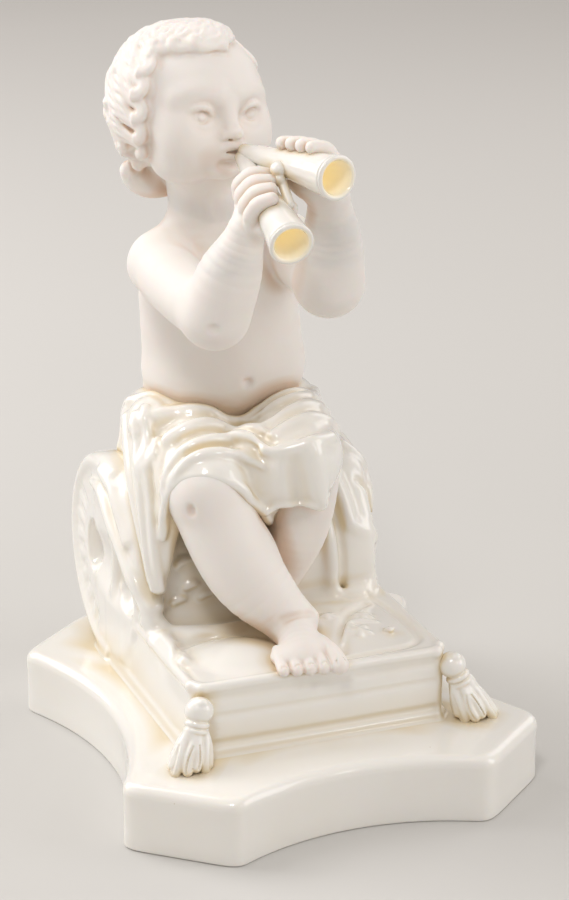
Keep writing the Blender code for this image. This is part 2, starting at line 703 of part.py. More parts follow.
def foot(group):
    """The right foot, pointing down to the slab's front edge, with five toes."""
    heel = ball("heel", from_slab(-2.5, -17, 4.4), (6, 6.2, 5.6), group)
    instep = limb("instep", [(from_slab(-2.5, -20, 6), 6.4), (from_slab(-4, -29, 4.2), 6.2),
                             (from_slab(-5, -35, 2.4), 4.8)], group)
    sole = ball("foot_ball", from_slab(-5.5, -35, 2.2), (9.2, 6, 3.6), group)
    toes = []
    for i, scale in enumerate((1.3, 1.02, 0.96, 0.92, 0.86)):
        x = (2.9 if i == 0 else 2.4) - i * 4.1
        y = -42.4 + i * 0.7
        radius = TOE_RADIUS * scale
        route = [
            (from_slab(x * 0.86 - 0.6, y + 8, 3.4), radius * 0.9),
            (from_slab(x, y + 3.6, radius * 1.35), radius * 0.86),
            (from_slab(x, y - 0.2, radius * 0.8), radius),
        ]
        toes.append(limb(f"toe_{i + 1}", route, group))
    return [heel, instep, sole, *toes]


# Pipes and hands


def pipe_ends():
    """The tip and the bell of the upper and the lower pipe."""
    return {
        "upper": (from_seat(-8.0, 4.5, 97.8), from_seat(3.1, -39, 99)),
        "lower": (from_seat(-8.6, 4.5, 96.2), from_seat(-11.3, -42, 82.6)),
    }


def pipe_radius(share):
    return PIPE_TIP_RADIUS + (BELL_RADIUS - PIPE_TIP_RADIUS) * share


def laid_along(obj, start, end):
    """Puts an object that stands on Z so that it runs from start towards end."""
    turn = (end - start).to_track_quat("Z", "Y").to_matrix().to_4x4()
    obj.matrix_world = Matrix.Translation((start + end) / 2 * MM) @ turn
    return obj


def pipes(forms, cutters):
    """Two slender cones with rolled lips, and the tapered bores that are cut into them."""
    solids, bores = [], []
    for name, (tip, bell) in pipe_ends().items():
        length = (bell - tip).length
        along = (bell - tip).normalized()
        cone = cylinder(f"{name}_pipe", (0, 0, 0), PIPE_TIP_RADIUS, length, forms, BELL_RADIUS)
        solids.append(laid_along(cone, tip, bell))
        start = bell - along * BORE_DEPTH
        inner = BORE_RADIUS * 0.45
        bore = cylinder(f"{name}_bore", (0, 0, 0), inner, BORE_DEPTH, cutters, BORE_RADIUS)
        bores.append(laid_along(bore, start, bell + along * 0.05))
    return solids, bores


def ring_point(tip, bell, distance, angle, reach):
    """A point beside a pipe, with the angle from the child's left (0) over the top (90)."""
    along = (bell - tip).normalized()
    left = Vector((1, 0, 0))
    left = (left - along * left.dot(along)).normalized()
    up = along.cross(left).normalized()
    turn = math.radians(angle)
    centre = tip + along * distance
    radius = pipe_radius(distance / (bell - tip).length)
    return centre + (left * math.cos(turn) + up * math.sin(turn)) * (radius + reach)


def fingers(name, ends, distances, start, stops, lean, group):
    """Fingers that wrap a pipe from the knuckle angle to the angle of each tip."""
    forms = []
    for distance, stop in zip(distances, stops):
        route = []
        for step, size in enumerate((1.08, 1.0, 1.06, 0.95, 0.88)):
            share = step / 4
            angle = start + (stop - start) * share
            along = distance + lean * (share - 0.5)
            route.append((ring_point(*ends, along, angle, FINGER_RADIUS * 0.75), FINGER_RADIUS * size))
        forms.append(limb(f"{name}_finger", route, group))
    return forms


def hands(group):
    """Both fists round the pipes, and the small clasp that holds the pipes together."""
    upper, lower = pipe_ends().values()
    right = fingers("right", lower, (17.5, 22.4, 27.3, 32.2), 222, (76, 87, 98, 108), 4.0, group)
    left = fingers("left", upper, (20, 24.8, 29.6, 34.4), -38, (92, 93, 94, 96), -0.6, group)
    palm = [(from_seat(-15, -18.5, 82), 4.8), (ring_point(*lower, 24, 236, 1.2), 5.0)]
    right.append(limb("right_palm", palm, group))
    back = ring_point(*lower, 25, 232, 1.0)
    right.append(ball("right_hand_back", back, (4.4, 10.0, 4.6), group, (16, 0, 0)))
    thumb = [((-12, -19, 82), 3.2), ((-8, -22, 82), 3.0), ((-5.5, -24, 85), 2.7), ((-5.4, -25, 88), 2.3)]
    right.append(limb("right_thumb", seated(thumb), group))
    palm = [(from_seat(7.4, -23, 90), 5.3), (ring_point(*upper, 26.5, -52, 1.2), 5.2)]
    left.append(limb("left_palm", palm, group))
    back = ring_point(*upper, 27.5, -40, 1.0)
    left.append(ball("left_hand_back", back, (4.2, 9.6, 4.8), group, (0, 0, 14)))
    thumb = [((5.5, -20, 89), 3.2), ((2, -18.5, 91), 2.8), ((-1, -18, 93.4), 2.4)]
    left.append(limb("left_thumb", seated(thumb), group))
    clasp = ball("clasp", ring_point(*upper, 23.5, 190, 0.4), (2.2, 2.8, 2.4), group)
    bead = ball("clasp_bead", ring_point(*upper, 25, 214, 1.8), 1.7, group)
    strap = [(ring_point(*upper, 24.5, 225, 1.4), 1.4), (ring_point(*lower, 33, 40, 0.2), 1.3)]
    return [*right, *left, clasp, bead, limb("clasp_strap", strap, group)]


# The whole


def porcelain():
    """One porcelain for the whole casting: warm white, half gloss."""
    material = bpy.data.materials.new("porcelain")
    material.use_nodes = True
    shader = material.node_tree.nodes["Principled BSDF"]
    shader.inputs["Base Color"].default_value = (0.86, 0.82, 0.76, 1)
    shader.inputs["Roughness"].default_value = 0.35
    shader.inputs["Metallic"].default_value = 0
    material.diffuse_color = (0.86, 0.82, 0.76, 1)
    return material


def thinned(name, body, triangles, fine, group):
    """The same body with fewer triangles. The fine zones, as (centre, radius), keep more of them."""
    count = sum(len(face.vertices) - 2 for face in body.data.polygons)
    weights = body.vertex_groups.new(name="thinning")
    centres = [(centre * MM, radius * MM) for centre, radius in fine]
    near, far = [], []
    for vertex in body.data.vertices:
        inside = any((vertex.co - centre).length < radius for centre, radius in centres)
        (near if inside else far).append(vertex.index)
    weights.add(near, FINE_WEIGHT, "REPLACE")
    weights.add(far, 1.0, "REPLACE")
    thin = body.modifiers.new("thin", "DECIMATE")
    thin.ratio = min(1, triangles / count)
    thin.vertex_group = weights.name
    thin.vertex_group_factor = FINE_FACTOR
    return baked(name, body, group)


def fine_zones():
    """Where the small forms are: face, hands, foot and tassels."""
    ends = pipe_ends()
    face = head_frame() @ Vector((0, -HEAD_WIDTH * 0.33, -HEAD_WIDTH * 0.1))
    return [
        (face, HEAD_WIDTH * 0.4),
        (ring_point(*ends["upper"], 25, 0, 0), 13),
        (ring_point(*ends["lower"], 25, 180, 0), 13),
        (from_slab(-5, -38, 2), 13),
    ]


def main():
    clear_scene()
    figurine = new_collection("minstrel_figurine")
    forms = new_collection("clay_forms", hidden=True)
    cutters = new_collection("cutters", hidden=True)

    masses = [slab(forms), roll(forms), torso(forms), arms(forms), head(forms), lap(forms)]
    masses.append(legs(forms))
    base = clay("base_clay", flat(masses), 6, forms)
    surface = surface_of(base)
    details = [
        seat_cloth(forms),
        tassels(forms),
        hair(forms),
        lap_folds(surface, forms),
        foot(forms),
        hands(forms),
    ]
    solids, bores = pipes(forms, cutters)
    full = clay("full_clay", [base, *flat(details), *solids], FINE_ROUNDS, forms)
    sculpt = thinned("sculpt", full, CLAY_TRIANGLES, fine_zones(), forms)

    whole = baked("whole", sculpt, forms)
    boolean(whole, plinth(forms, cutters), "UNION")
    for solid in solids:
        boolean(whole, solid, "UNION")
    for bore in bores:
        boolean(whole, bore, "DIFFERENCE")
    body = baked("figurine", whole, figurine)
    keep_outer_shell(body)
    body.data.materials.clear()
    body.data.materials.append(porcelain())
    for obj in [*forms.objects]:
        bpy.data.objects.remove(obj, do_unlink=True)


main()
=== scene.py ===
"""Looks of the minstrel figurine: sculpted skin, lap cloth, mattress, tassels, pipes and plinth.

The soft forms are worked out on a distance field, which is a grid whose values say how far each
point lies from the clay's skin, negative inside. Solids are blended into the field one by one,
folds and locks are laid on the skin that is there already, and the zero surface becomes the mesh.
The plinth and the pipes are rings of points, joined one to the next. Lengths are in millimetres
up to the point where a mesh is made, which is in metres. +Z is up, the child faces -Y, and its
left hand is towards +X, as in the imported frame.
"""

from __future__ import annotations

import logging
import math
from dataclasses import dataclass
from enum import Enum

import bpy
import numpy as np
from mathutils import Matrix, Vector

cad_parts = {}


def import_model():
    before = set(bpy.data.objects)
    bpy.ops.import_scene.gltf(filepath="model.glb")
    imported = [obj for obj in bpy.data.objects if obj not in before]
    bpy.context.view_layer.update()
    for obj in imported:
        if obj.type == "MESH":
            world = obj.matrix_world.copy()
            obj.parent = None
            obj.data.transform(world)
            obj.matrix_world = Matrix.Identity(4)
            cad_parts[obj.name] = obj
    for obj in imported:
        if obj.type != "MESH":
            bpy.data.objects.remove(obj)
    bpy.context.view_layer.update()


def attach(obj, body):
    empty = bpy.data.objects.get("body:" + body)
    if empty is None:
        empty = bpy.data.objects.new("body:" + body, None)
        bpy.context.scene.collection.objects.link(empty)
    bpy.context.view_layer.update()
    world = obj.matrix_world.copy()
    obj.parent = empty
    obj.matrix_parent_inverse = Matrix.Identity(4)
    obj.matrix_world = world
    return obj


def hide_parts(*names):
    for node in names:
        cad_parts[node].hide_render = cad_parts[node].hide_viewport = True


LOG = logging.getLogger("minstrel")
MM = 0.001

Point = tuple[float, float, float]
Colour = tuple[float, float, float, float]
Route = list[tuple[float, float, float, float]]
Folds = list[tuple[Route, float]]

# Heights and sizes of what the pieces stand on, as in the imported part
PLINTH_HEIGHT = 20.0
SLAB_HEIGHT = 22.0
ROLL_RADIUS = 32.0
ROLL_BACK = 36.5
SLAB_WIDTH = 78.0
SLAB_FRONT = 41.0
SLAB_EDGE = 3.2
SEAT_FRONT = 15.0
SEAT_CLOTH = 1.0
SLAB_TOP = PLINTH_HEIGHT + SLAB_HEIGHT
SEAT_TOP = PLINTH_HEIGHT + 2 * ROLL_RADIUS + SEAT_CLOTH

# Plinth: half its size, where its cants start, how deep its sides sag, and its edges
PLINTH_HALF = (65.0, 71.7)
CANT_START = (38.3, 48.9)
END_SAG = 10.0
SIDE_SAG = 13.5
CORNER_ROUNDS = 34
PLINTH_EDGE = 3.2
FOOT_EDGE = 0.9
RECESS_DEPTH = 1.6

# Head and hair
HEAD_CENTRE = (-15.5, 26.0, 106.5)
HEAD_TURN = 14.0
HEAD_LEAN = 4.0
HEAD_BACK_TILT = -8.0
SKULL = (20.8, 22.2, 20.0)
SKULL_MIDDLE = (0.0, 2.0, 3.0)
HAIR_THICKNESS = 1.2
HAIR_FULLNESS = 3.0
BED_SHARE = 0.42
BED_SINK = 0.35
BED_BLEND = 1.6
STRAND_FULLNESS = 0.62
STRAND_BLEND = 0.85
STRAND_WAVE = 0.36

# Double pipe and the fingers round it
PIPE_TIP_RADIUS = 1.9
BELL_RADIUS = 6.2
BORE_RADIUS = 4.9
BORE_DEPTH = 17.0
BORE_WALL = 0.7
FINGER_RADIUS = 2.3
FINGER_PROFILE = (1.16, 1.0, 1.1, 0.96, 1.04, 0.94, 0.88)
FINGER_SIZES = (0.98, 1.05, 1.02, 0.92)

# Toes, from the big one on
TOE_RADIUS = 2.15
TOE_SIZES = (1.3, 1.02, 0.96, 0.92, 0.86)
TOE_SPACING = 3.8

# Hollows, which the materials darken with painted shade: lifts over the skin with their weights,
# and how far a field's values are trusted
HOLLOW_LIFTS = ((1.4, 0.4), (4.5, 0.6), (14.0, 0.4))
KNOWN_REACH = 6.0

# Studio: places and reach in metres, lens and sensor in millimetres
FLOOR_REACH = 4.0
LIGHT_TARGET = (0.0, 0.0, 0.1)
LIGHT_COLOUR = (1.0, 0.985, 0.98)
SKY_COLOUR = (1.0, 0.93, 0.87, 1)
SKY_STRENGTH = 0.42
LENS_LENGTH = 109.5
SENSOR_WIDTH = 36
LENS_SHIFT = (0.0105, -0.0227)
CAMERA_PLACE = (-0.26975, -0.7003, 0.36488)
CAMERA_RIGHT = (0.93316, -0.35945, 0)
CAMERA_BACK = (-0.33896, -0.87996, 0.33284)


class Finish(Enum):
    """The material slot that a piece takes its finish from."""

    BISQUE = "bisque"
    GLAZE = "glaze"


# Placing


def rotation(turn: Point) -> np.ndarray:
    """The matrix of turns about X, then Y, then Z.

    Args:
        turn: Degrees about each axis.

    Returns:
        A 3 by 3 rotation matrix.
    """
    a, b, c = (math.radians(angle) for angle in turn)
    about_x = np.array([[1, 0, 0], [0, math.cos(a), -math.sin(a)], [0, math.sin(a), math.cos(a)]])
    about_y = np.array([[math.cos(b), 0, math.sin(b)], [0, 1, 0], [-math.sin(b), 0, math.cos(b)]])
    about_z = np.array([[math.cos(c), -math.sin(c), 0], [math.sin(c), math.cos(c), 0], [0, 0, 1]])
    return about_z @ about_y @ about_x


@dataclass(frozen=True)
class Place:
    """A local space that solids are laid out in, such as the head's."""

    origin: Point = (0.0, 0.0, 0.0)
    turn: Point = (0.0, 0.0, 0.0)

    def matrix(self) -> np.ndarray:
        """The rotation from this space to the figurine's."""
        return rotation(self.turn)

    def point(self, local: Point) -> np.ndarray:
        """A local point in the figurine's millimetres."""
        return np.array(self.origin) + self.matrix() @ np.array(local, float)

    def ball(self, centre: Point, radii, blend: float = 2.0) -> Ball:
        """An ellipsoid laid out in this space."""
        sizes = (radii,) * 3 if isinstance(radii, (int, float)) else tuple(radii)
        return Ball(tuple(self.point(centre)), sizes, self.matrix(), blend)

    def limb(self, route: Route, blend: float = 2.0) -> Limb:
        """A tapered limb laid out in this space."""
        nodes = [(*self.point(node[:3]), node[3]) for node in route]
        return Limb(np.array(nodes, float), blend)


UPRIGHT = np.eye(3)
SEAT = Place((0, 0, SEAT_TOP))
SLAB = Place((0, 0, SLAB_TOP))
HEAD = Place((HEAD_CENTRE[0], HEAD_CENTRE[1], SEAT_TOP + HEAD_CENTRE[2]),
             (HEAD_BACK_TILT, HEAD_LEAN, HEAD_TURN))


# Solids, each with the distance from its skin


@dataclass(frozen=True)
class Ball:
    """An ellipsoid with its own rotation."""

    centre: Point
    radii: Point
    matrix: np.ndarray
    blend: float = 2.0

    def box(self) -> tuple[np.ndarray, np.ndarray]:
        """Lowest and highest corner of the solid."""
        reach = np.sqrt(((self.matrix * np.array(self.radii)) ** 2).sum(axis=1))
        return np.array(self.centre) - reach, np.array(self.centre) + reach

    def distance(self, x: np.ndarray, y: np.ndarray, z: np.ndarray) -> np.ndarray:
        """Distance by the ratio of the ellipsoid's level to the level's slope."""
        dx, dy, dz = x - self.centre[0], y - self.centre[1], z - self.centre[2]
        m = self.matrix.astype(np.float32)
        level = np.float32(0)
        slope = np.float32(0)
        for axis, radius in enumerate(self.radii):
            along = (dx * m[0, axis] + dy * m[1, axis] + dz * m[2, axis]) / np.float32(radius)
            level = level + along**2
            slope = slope + (along / np.float32(radius)) ** 2
        level = np.sqrt(level)
        return level * (level - 1) / np.maximum(np.sqrt(slope), np.float32(1e-6))


@dataclass(frozen=True)
class Block:
    """A box with rounded edges and its own rotation."""

    centre: Point
    size: Point
    rounding: float
    matrix: np.ndarray
    blend: float = 2.0

    def box(self) -> tuple[np.ndarray, np.ndarray]:
        """Lowest and highest corner of the solid."""
        reach = (np.abs(self.matrix) * (np.array(self.size) / 2)).sum(axis=1)
        return np.array(self.centre) - reach, np.array(self.centre) + reach

    def distance(self, x: np.ndarray, y: np.ndarray, z: np.ndarray) -> np.ndarray:
        """Distance to the inner box, less the rounding."""
        dx, dy, dz = x - self.centre[0], y - self.centre[1], z - self.centre[2]
        m = self.matrix.astype(np.float32)
        outside = np.float32(0)
        inside = np.float32(-1e9)
        for axis, side in enumerate(self.size):
            along = np.abs(dx * m[0, axis] + dy * m[1, axis] + dz * m[2, axis])
            past = along - np.float32(side / 2 - self.rounding)
            outside = outside + np.maximum(past, 0) ** 2
            inside = np.maximum(inside, past)
        return np.sqrt(outside) + np.minimum(inside, 0) - np.float32(self.rounding)


@dataclass(frozen=True)
class Limb:
    """A tapered tube with round ends through nodes of (x, y, z, radius)."""

    nodes: np.ndarray
    blend: float = 2.0
    spacing: float = 1.5

    def path(self) -> np.ndarray:
        """The nodes as control points of a quadratic B-spline, sampled at an even spacing."""
        nodes = self.nodes
        if len(nodes) < 3:
            return nodes
        pieces = []
        for i in range(1, len(nodes) - 1):
            start = nodes[0] if i == 1 else (nodes[i - 1] + nodes[i]) / 2
            end = nodes[-1] if i == len(nodes) - 2 else (nodes[i] + nodes[i + 1]) / 2
            first, last = nodes[i, :3] - start[:3], end[:3] - nodes[i, :3]
            length = np.linalg.norm(first) + np.linalg.norm(last)
            count = max(3, math.ceil(length / max(self.spacing, nodes[i, 3] * 0.35)))
            t = np.linspace(0, 1, count + 1)[:, None]
            piece = (1 - t) ** 2 * start + 2 * t * (1 - t) * nodes[i] + t**2 * end
            pieces.append(piece if i == 1 else piece[1:])
        return np.concatenate(pieces)

    def box(self) -> tuple[np.ndarray, np.ndarray]:
        """Lowest and highest corner of the solid."""
        path = self.path()
        return (path[:, :3] - path[:, 3:]).min(axis=0), (path[:, :3] + path[:, 3:]).max(axis=0)

    def distance(self, x: np.ndarray, y: np.ndarray, z: np.ndarray) -> np.ndarray:
        """Least distance to the tapered segments between the path's points."""
        found = np.full(np.broadcast_shapes(x.shape, y.shape, z.shape), 1e3, np.float32)
        path = self.path().astype(np.float32)
        axes = (x.ravel(), y.ravel(), z.ravel())
        for a, b in zip(path[:-1], path[1:]):
            reach = max(a[3], b[3]) + Clay.MARGIN
            cut = []
            for axis, line in enumerate(axes):
                low = np.searchsorted(line, min(a[axis], b[axis]) - reach)
                high = np.searchsorted(line, max(a[axis], b[axis]) + reach)
                cut.append(slice(low, max(high, low + 1)))
            px, py, pz = x[cut[0]] - a[0], y[:, cut[1]] - a[1], z[:, :, cut[2]] - a[2]
            along = b[:3] - a[:3]
            length = max(float(along @ along), 1e-9)
            t = np.clip((px * along[0] + py * along[1] + pz * along[2]) / length, 0, 1)
            gap = (px - t * along[0]) ** 2 + (py - t * along[1]) ** 2 + (pz - t * along[2]) ** 2
            near = np.sqrt(gap) - (a[3] + t * (b[3] - a[3]))
            window = found[cut[0], cut[1], cut[2]]
            np.minimum(window, near, out=window)
        return found


# The clay


class Clay:
    """A distance field on an even grid, in millimetres."""

    FAR = np.float32(9.0)
    MARGIN = 7.0

    def __init__(self, low: Point, high: Point, cell: float) -> None:
        """Makes an empty field.

        Args:
            low: Lowest corner.
            high: Highest corner.
            cell: Grid spacing.
        """
        self.low = np.array(low, float)
        self.cell = cell
        counts = [math.ceil((b - a) / cell) + 1 for a, b in zip(low, high)]
        self.field = np.full(counts, self.FAR, np.float32)
        self.lines = [
            (low[axis] + cell * np.arange(count)).astype(np.float32)
            for axis, count in enumerate(counts)
        ]

    def _window(self, solid, margin: float):
        """The part of the grid near a solid, as slices and as coordinates."""
        low, high = solid.box()
        cut = []
        for axis, line in enumerate(self.lines):
            start = int(np.searchsorted(line, low[axis] - margin))
            stop = int(np.searchsorted(line, high[axis] + margin))
            if stop - start < 2:
                return None
            cut.append(slice(start, stop))
        x = self.lines[0][cut[0]][:, None, None]
        y = self.lines[1][cut[1]][None, :, None]
        z = self.lines[2][cut[2]][None, None, :]
        return tuple(cut), (x, y, z)

    def top(self) -> np.ndarray:
        """Highest corner."""
        return self.low + self.cell * (np.array(self.field.shape) - 1)

    def add(self, *solids, margin: float = MARGIN) -> Clay:
        """Blends solids in. The smaller distance wins, rounded where both are near each other."""
        for solid in solids:
            found = self._window(solid, margin)
            if found:
                cut, grid = found
                self.field[cut] = smooth_least(self.field[cut], solid.distance(*grid), solid.blend)
        return self

    def carve(self, *solids) -> Clay:
        """Takes solids away, with edges rounded by each one's blend."""
        for solid in solids:
            found = self._window(solid, solid.blend + 1)
            if found:
                cut, grid = found
                kept = smooth_least(-self.field[cut], solid.distance(*grid), solid.blend)
                self.field[cut] = -kept
        return self

    def soften(self) -> Clay:
        """Averages each value with its neighbours along every axis."""
        for axis in range(3):
            line = np.moveaxis(self.field, axis, 0)
            line[1:-1] = (line[:-2] + 2 * line[1:-1] + line[2:]) / 4
        return self

    def value(self, points: np.ndarray) -> np.ndarray:
        """The field at any points, by trilinear interpolation."""
        limit = np.array(self.field.shape) - 1.001
        at = np.clip((points - self.low) / self.cell, 0, limit)
        base = at.astype(int)
        part = (at - base).astype(np.float32)
        total = np.zeros(len(points), np.float32)
        for corner in np.ndindex(2, 2, 2):
            share = np.prod(np.where(corner, part, 1 - part), axis=1)
            i, j, k = (base + corner).T
            total += share * self.field[i, j, k]
        return total

    def slope(self, points: np.ndarray) -> np.ndarray:
        """The unit direction in which the field grows, at any points."""
        step = self.cell
        ways = [
            self.value(points + offset) - self.value(points - offset)
            for offset in np.eye(3) * step
        ]
        found = np.stack(ways, axis=1)
        return found / np.maximum(np.linalg.norm(found, axis=1, keepdims=True), 1e-9)

    def laid(self, points: np.ndarray, lift: float | np.ndarray = 0.0) -> np.ndarray:
        """The points moved down the slope onto the skin, then raised by lift."""
        found = points.astype(float).copy()
        for _ in range(6):
            found -= self.slope(found) * self.value(found)[:, None]
        return found + self.slope(found) * np.reshape(lift, (-1, 1))

    def strand(self, route: Route, blend: float = 1.0, sink: float = 0.45) -> Limb:
        """A limb laid on the skin, sunk by a share of its radius.

        Args:
            route: Points near the skin, with radii.
            blend: How far it melts into the clay.
            sink: Share of the strand's width that lies under the skin.

        Returns:
            The limb, ready to be added or carved.
        """
        rough = Limb(np.array(route, float), blend)
        path = rough.path()
        spots = np.linspace(0, len(path) - 1, max(3, len(path) // 2)).round().astype(int)
        nodes = path[spots]
        nodes[:, :3] = self.laid(nodes[:, :3], nodes[:, 3] * (1 - 2 * sink))
        return Limb(nodes, blend, spacing=1.0)


def smooth_least(a: np.ndarray, b: np.ndarray, blend: float) -> np.ndarray:
    """The lesser of two distances, lowered where they are closer to each other than blend."""
    least = np.minimum(a, b)
    if blend <= 0:
        return least
    near = np.maximum(np.float32(blend) - np.abs(a - b), 0) / np.float32(blend)
    return least - near * near * np.float32(blend / 4)


def surface_net(clay: Clay) -> tuple[np.ndarray, np.ndarray]:
    """The zero surface of a field as a mesh of quads.

    Each cell that the surface crosses gets one vertex, at the mean of the crossings on its
    edges, and each crossed grid edge gets one quad between the four cells round it.

    Args:
        clay: The field. Its faces have to be outside the solid.

    Returns:
        Vertices in millimetres, and quads as rows of vertex numbers.
    """
    field = clay.field
    inside = field < 0
    total = np.zeros([count - 1 for count in field.shape], np.uint8)
    for i, j, k in np.ndindex(2, 2, 2):
        total += inside[i:i - 1 or None, j:j - 1 or None, k:k - 1 or None]
    cells = np.stack(np.nonzero((total > 0) & (total < 8)), axis=1)
    number = np.full(total.shape, -1, np.int32)
    number[tuple(cells.T)] = np.arange(len(cells))
    place = np.zeros((len(cells), 3))
    count = np.zeros(len(cells))
    for axis in range(3):
        for corner in np.ndindex(2, 2):
            start = np.insert(np.array(corner), axis, 0)
            end = start.copy()
            end[axis] = 1
            a = field[tuple((cells + start).T)]
            b = field[tuple((cells + end).T)]
            crossed = (a < 0) != (b < 0)
            t = a[crossed] / (a[crossed] - b[crossed])
            place[crossed] += start + t[:, None] * (end - start)
            count[crossed] += 1
    place = clay.low + (cells + place / count[:, None]) * clay.cell
    place -= clay.slope(place) * clay.value(place)[:, None]

    quads = []
    for axis in range(3):
        side_a, side_b = [other for other in range(3) if other != axis]
        window = [slice(1, -1)] * 3
        window[axis] = slice(0, -1)
        here = inside[tuple(window)]
        window[axis] = slice(1, None)
        there = inside[tuple(window)]
        edges = np.stack(np.nonzero(here != there), axis=1)
        edges[:, side_a] += 1
        edges[:, side_b] += 1
        leaves = inside[tuple(edges.T)]
        ring = []
        for back_a, back_b in ((1, 1), (0, 1), (0, 0), (1, 0)):
            cell = edges.copy()
            cell[:, side_a] -= back_a
            cell[:, side_b] -= back_b
            ring.append(number[tuple(cell.T)])
        ring = np.stack(ring, axis=1)
        flip = leaves if axis == 1 else ~leaves
        ring[flip] = ring[flip][:, ::-1]
        quads.append(ring)
    return place, np.concatenate(quads)


# Skin and hair


def on_hair(path, lift=0.0) -> np.ndarray:
    """Points on the hair's skin.

    Args:
        path: Rows of (longitude, latitude) in degrees. Longitude 0 is over the nose, 90 over the
            left ear.
        lift: Height over the hair's skin, one value or one for each row.

    Returns:
        Points in the figurine's millimetres.
    """
    around, up = np.radians(np.asarray(path, float)).T
    fuller = HAIR_FULLNESS * np.clip(-np.sin(up), 0, 1)
    grown = (HAIR_THICKNESS + np.asarray(lift, float) + fuller)[:, None]
    flat = np.stack([np.sin(around) * np.cos(up), -np.cos(around) * np.cos(up), np.sin(up)], axis=1)
    local = flat * (np.array(SKULL) + grown) + np.array(SKULL_MIDDLE)
    return np.array(HEAD.origin) + local @ HEAD.matrix().T


@dataclass(frozen=True)
class Lock:
    """A lock of hair: strands side by side along a path that can end in a curl."""

    path: tuple
    width: float = 5.0
    strands: int = 3
    curl: float = 0.0
    size: float = 2.2
    lift: float = 0.3

    def centre_line(self) -> np.ndarray:
        """Points along the lock's middle, with the curl at the end."""
        rough = on_hair(self.path, self.lift)
        nodes = np.column_stack([rough, np.full(len(rough), 1.0)])
        line = Limb(nodes, spacing=1.2).path()[:, :3]
        if not self.curl:
            return line
        along = line[-1] - line[-2]
        along /= np.linalg.norm(along)
        out = line[-1] - self.heart()
        out /= np.linalg.norm(out)
        side = np.cross(out, along) * math.copysign(1, self.curl)
        count = max(4, int(abs(self.curl) / 28))
        turn = np.radians(np.linspace(0, abs(self.curl), count + 1))[1:, None]
        reach = self.size * (1 - 0.6 * np.linspace(0, 1, count))[:, None]
        middle = line[-1] + side * self.size
        spiral = middle + (along * np.sin(turn) - side * np.cos(turn)) * reach
        spiral += out * np.linspace(0.0, 0.9, count)[:, None]
        return np.concatenate([line, spiral])

    def heart(self) -> np.ndarray:
        """The middle of the skull, that every lock faces away from."""
        return HEAD.point(SKULL_MIDDLE)

    def outward(self, line: np.ndarray) -> np.ndarray:
        """For points of the lock, the direction away from the skull."""
        out = line - self.heart()
        return out / np.linalg.norm(out, axis=1, keepdims=True)

    def taper(self, line: np.ndarray) -> np.ndarray:
        """How wide the lock is spread at its points, as a share of its width."""
        share = np.linspace(0, 1, len(line))
        return np.clip(0.45 + 2.2 * share, 0, 1) * np.clip((1.05 - share) * 2.2, 0.34, 1)

    def bed(self) -> Limb:
        """A thick core under the strands, so that no lock stands off the head."""
        line = self.centre_line()
        radius = self.width * BED_SHARE * np.clip(self.taper(line), 0.6, 1)
        lower = line - self.outward(line) * (radius + BED_SINK)[:, None]
        return Limb(np.column_stack([lower, radius]), BED_BLEND, spacing=1.6)

    def solids(self) -> list[Limb]:
        """One thin limb for each strand."""
        line = self.centre_line()
        along = np.gradient(line, axis=0)
        along /= np.linalg.norm(along, axis=1, keepdims=True)
        out = self.outward(line)
        side = np.cross(out, along)
        side /= np.linalg.norm(side, axis=1, keepdims=True)
        spread = self.taper(line)
        travel = np.concatenate([[0], np.cumsum(np.linalg.norm(np.diff(line, axis=0), axis=1))])
        thick = self.width / (self.strands + 0.7) * STRAND_FULLNESS
        made = []
        for number in range(self.strands):
            offset = (number + 0.5) / self.strands * 2 - 1
            wave = STRAND_WAVE * np.sin(travel * 0.75 + number * 2.1 + self.width * 5)
            shift = side * ((offset * self.width / 2 + wave) * spread)[:, None]
            rise = out * ((1 - offset**2) * 1.0 * spread - 0.7 + wave * 0.6)[:, None]
            radius = thick * np.clip(0.72 + spread * 0.33, 0.55, 1.05)
            radius = radius * (1 + 0.18 * math.sin(number * 2.4 + self.width * 3))
            strand = np.column_stack([line + shift + rise, radius])
            made.append(Limb(strand, STRAND_BLEND, spacing=1.1))
        return made


def fringe_locks() -> list[Lock]:
    """The locks that frame the forehead, each combed forward from the crown."""
    return [
        Lock(((40, 84), (-30, 72), (-54, 60), (-62, 50), (-72, 42)), 7.4, 5, 100, 2.6, 0.1),
        Lock(((50, 80), (-8, 69), (-32, 58), (-46, 48), (-60, 42)), 7.4, 5, -110, 2.4, 0.3),
        Lock(((60, 76), (10, 65), (-10, 57), (-24, 48), (-40, 43)), 7.2, 5, -100, 2.4, 0.5),
        Lock(((70, 72), (32, 63), (14, 55), (0, 48), (-18, 43)), 7.2, 5, -120, 2.4, 0.6),
        Lock(((80, 74), (52, 66), (34, 60), (18, 54), (2, 49)), 6.6, 5, 110, 2.2, 0.2),
        Lock(((92, 70), (76, 64), (62, 60), (50, 57), (38, 56)), 6.0, 4, -100, 2.0, -0.3),
        Lock(((-20, 86), (-70, 76), (-84, 66), (-80, 56), (-70, 48)), 7.4, 5, 110, 2.6, 0.2),
    ]


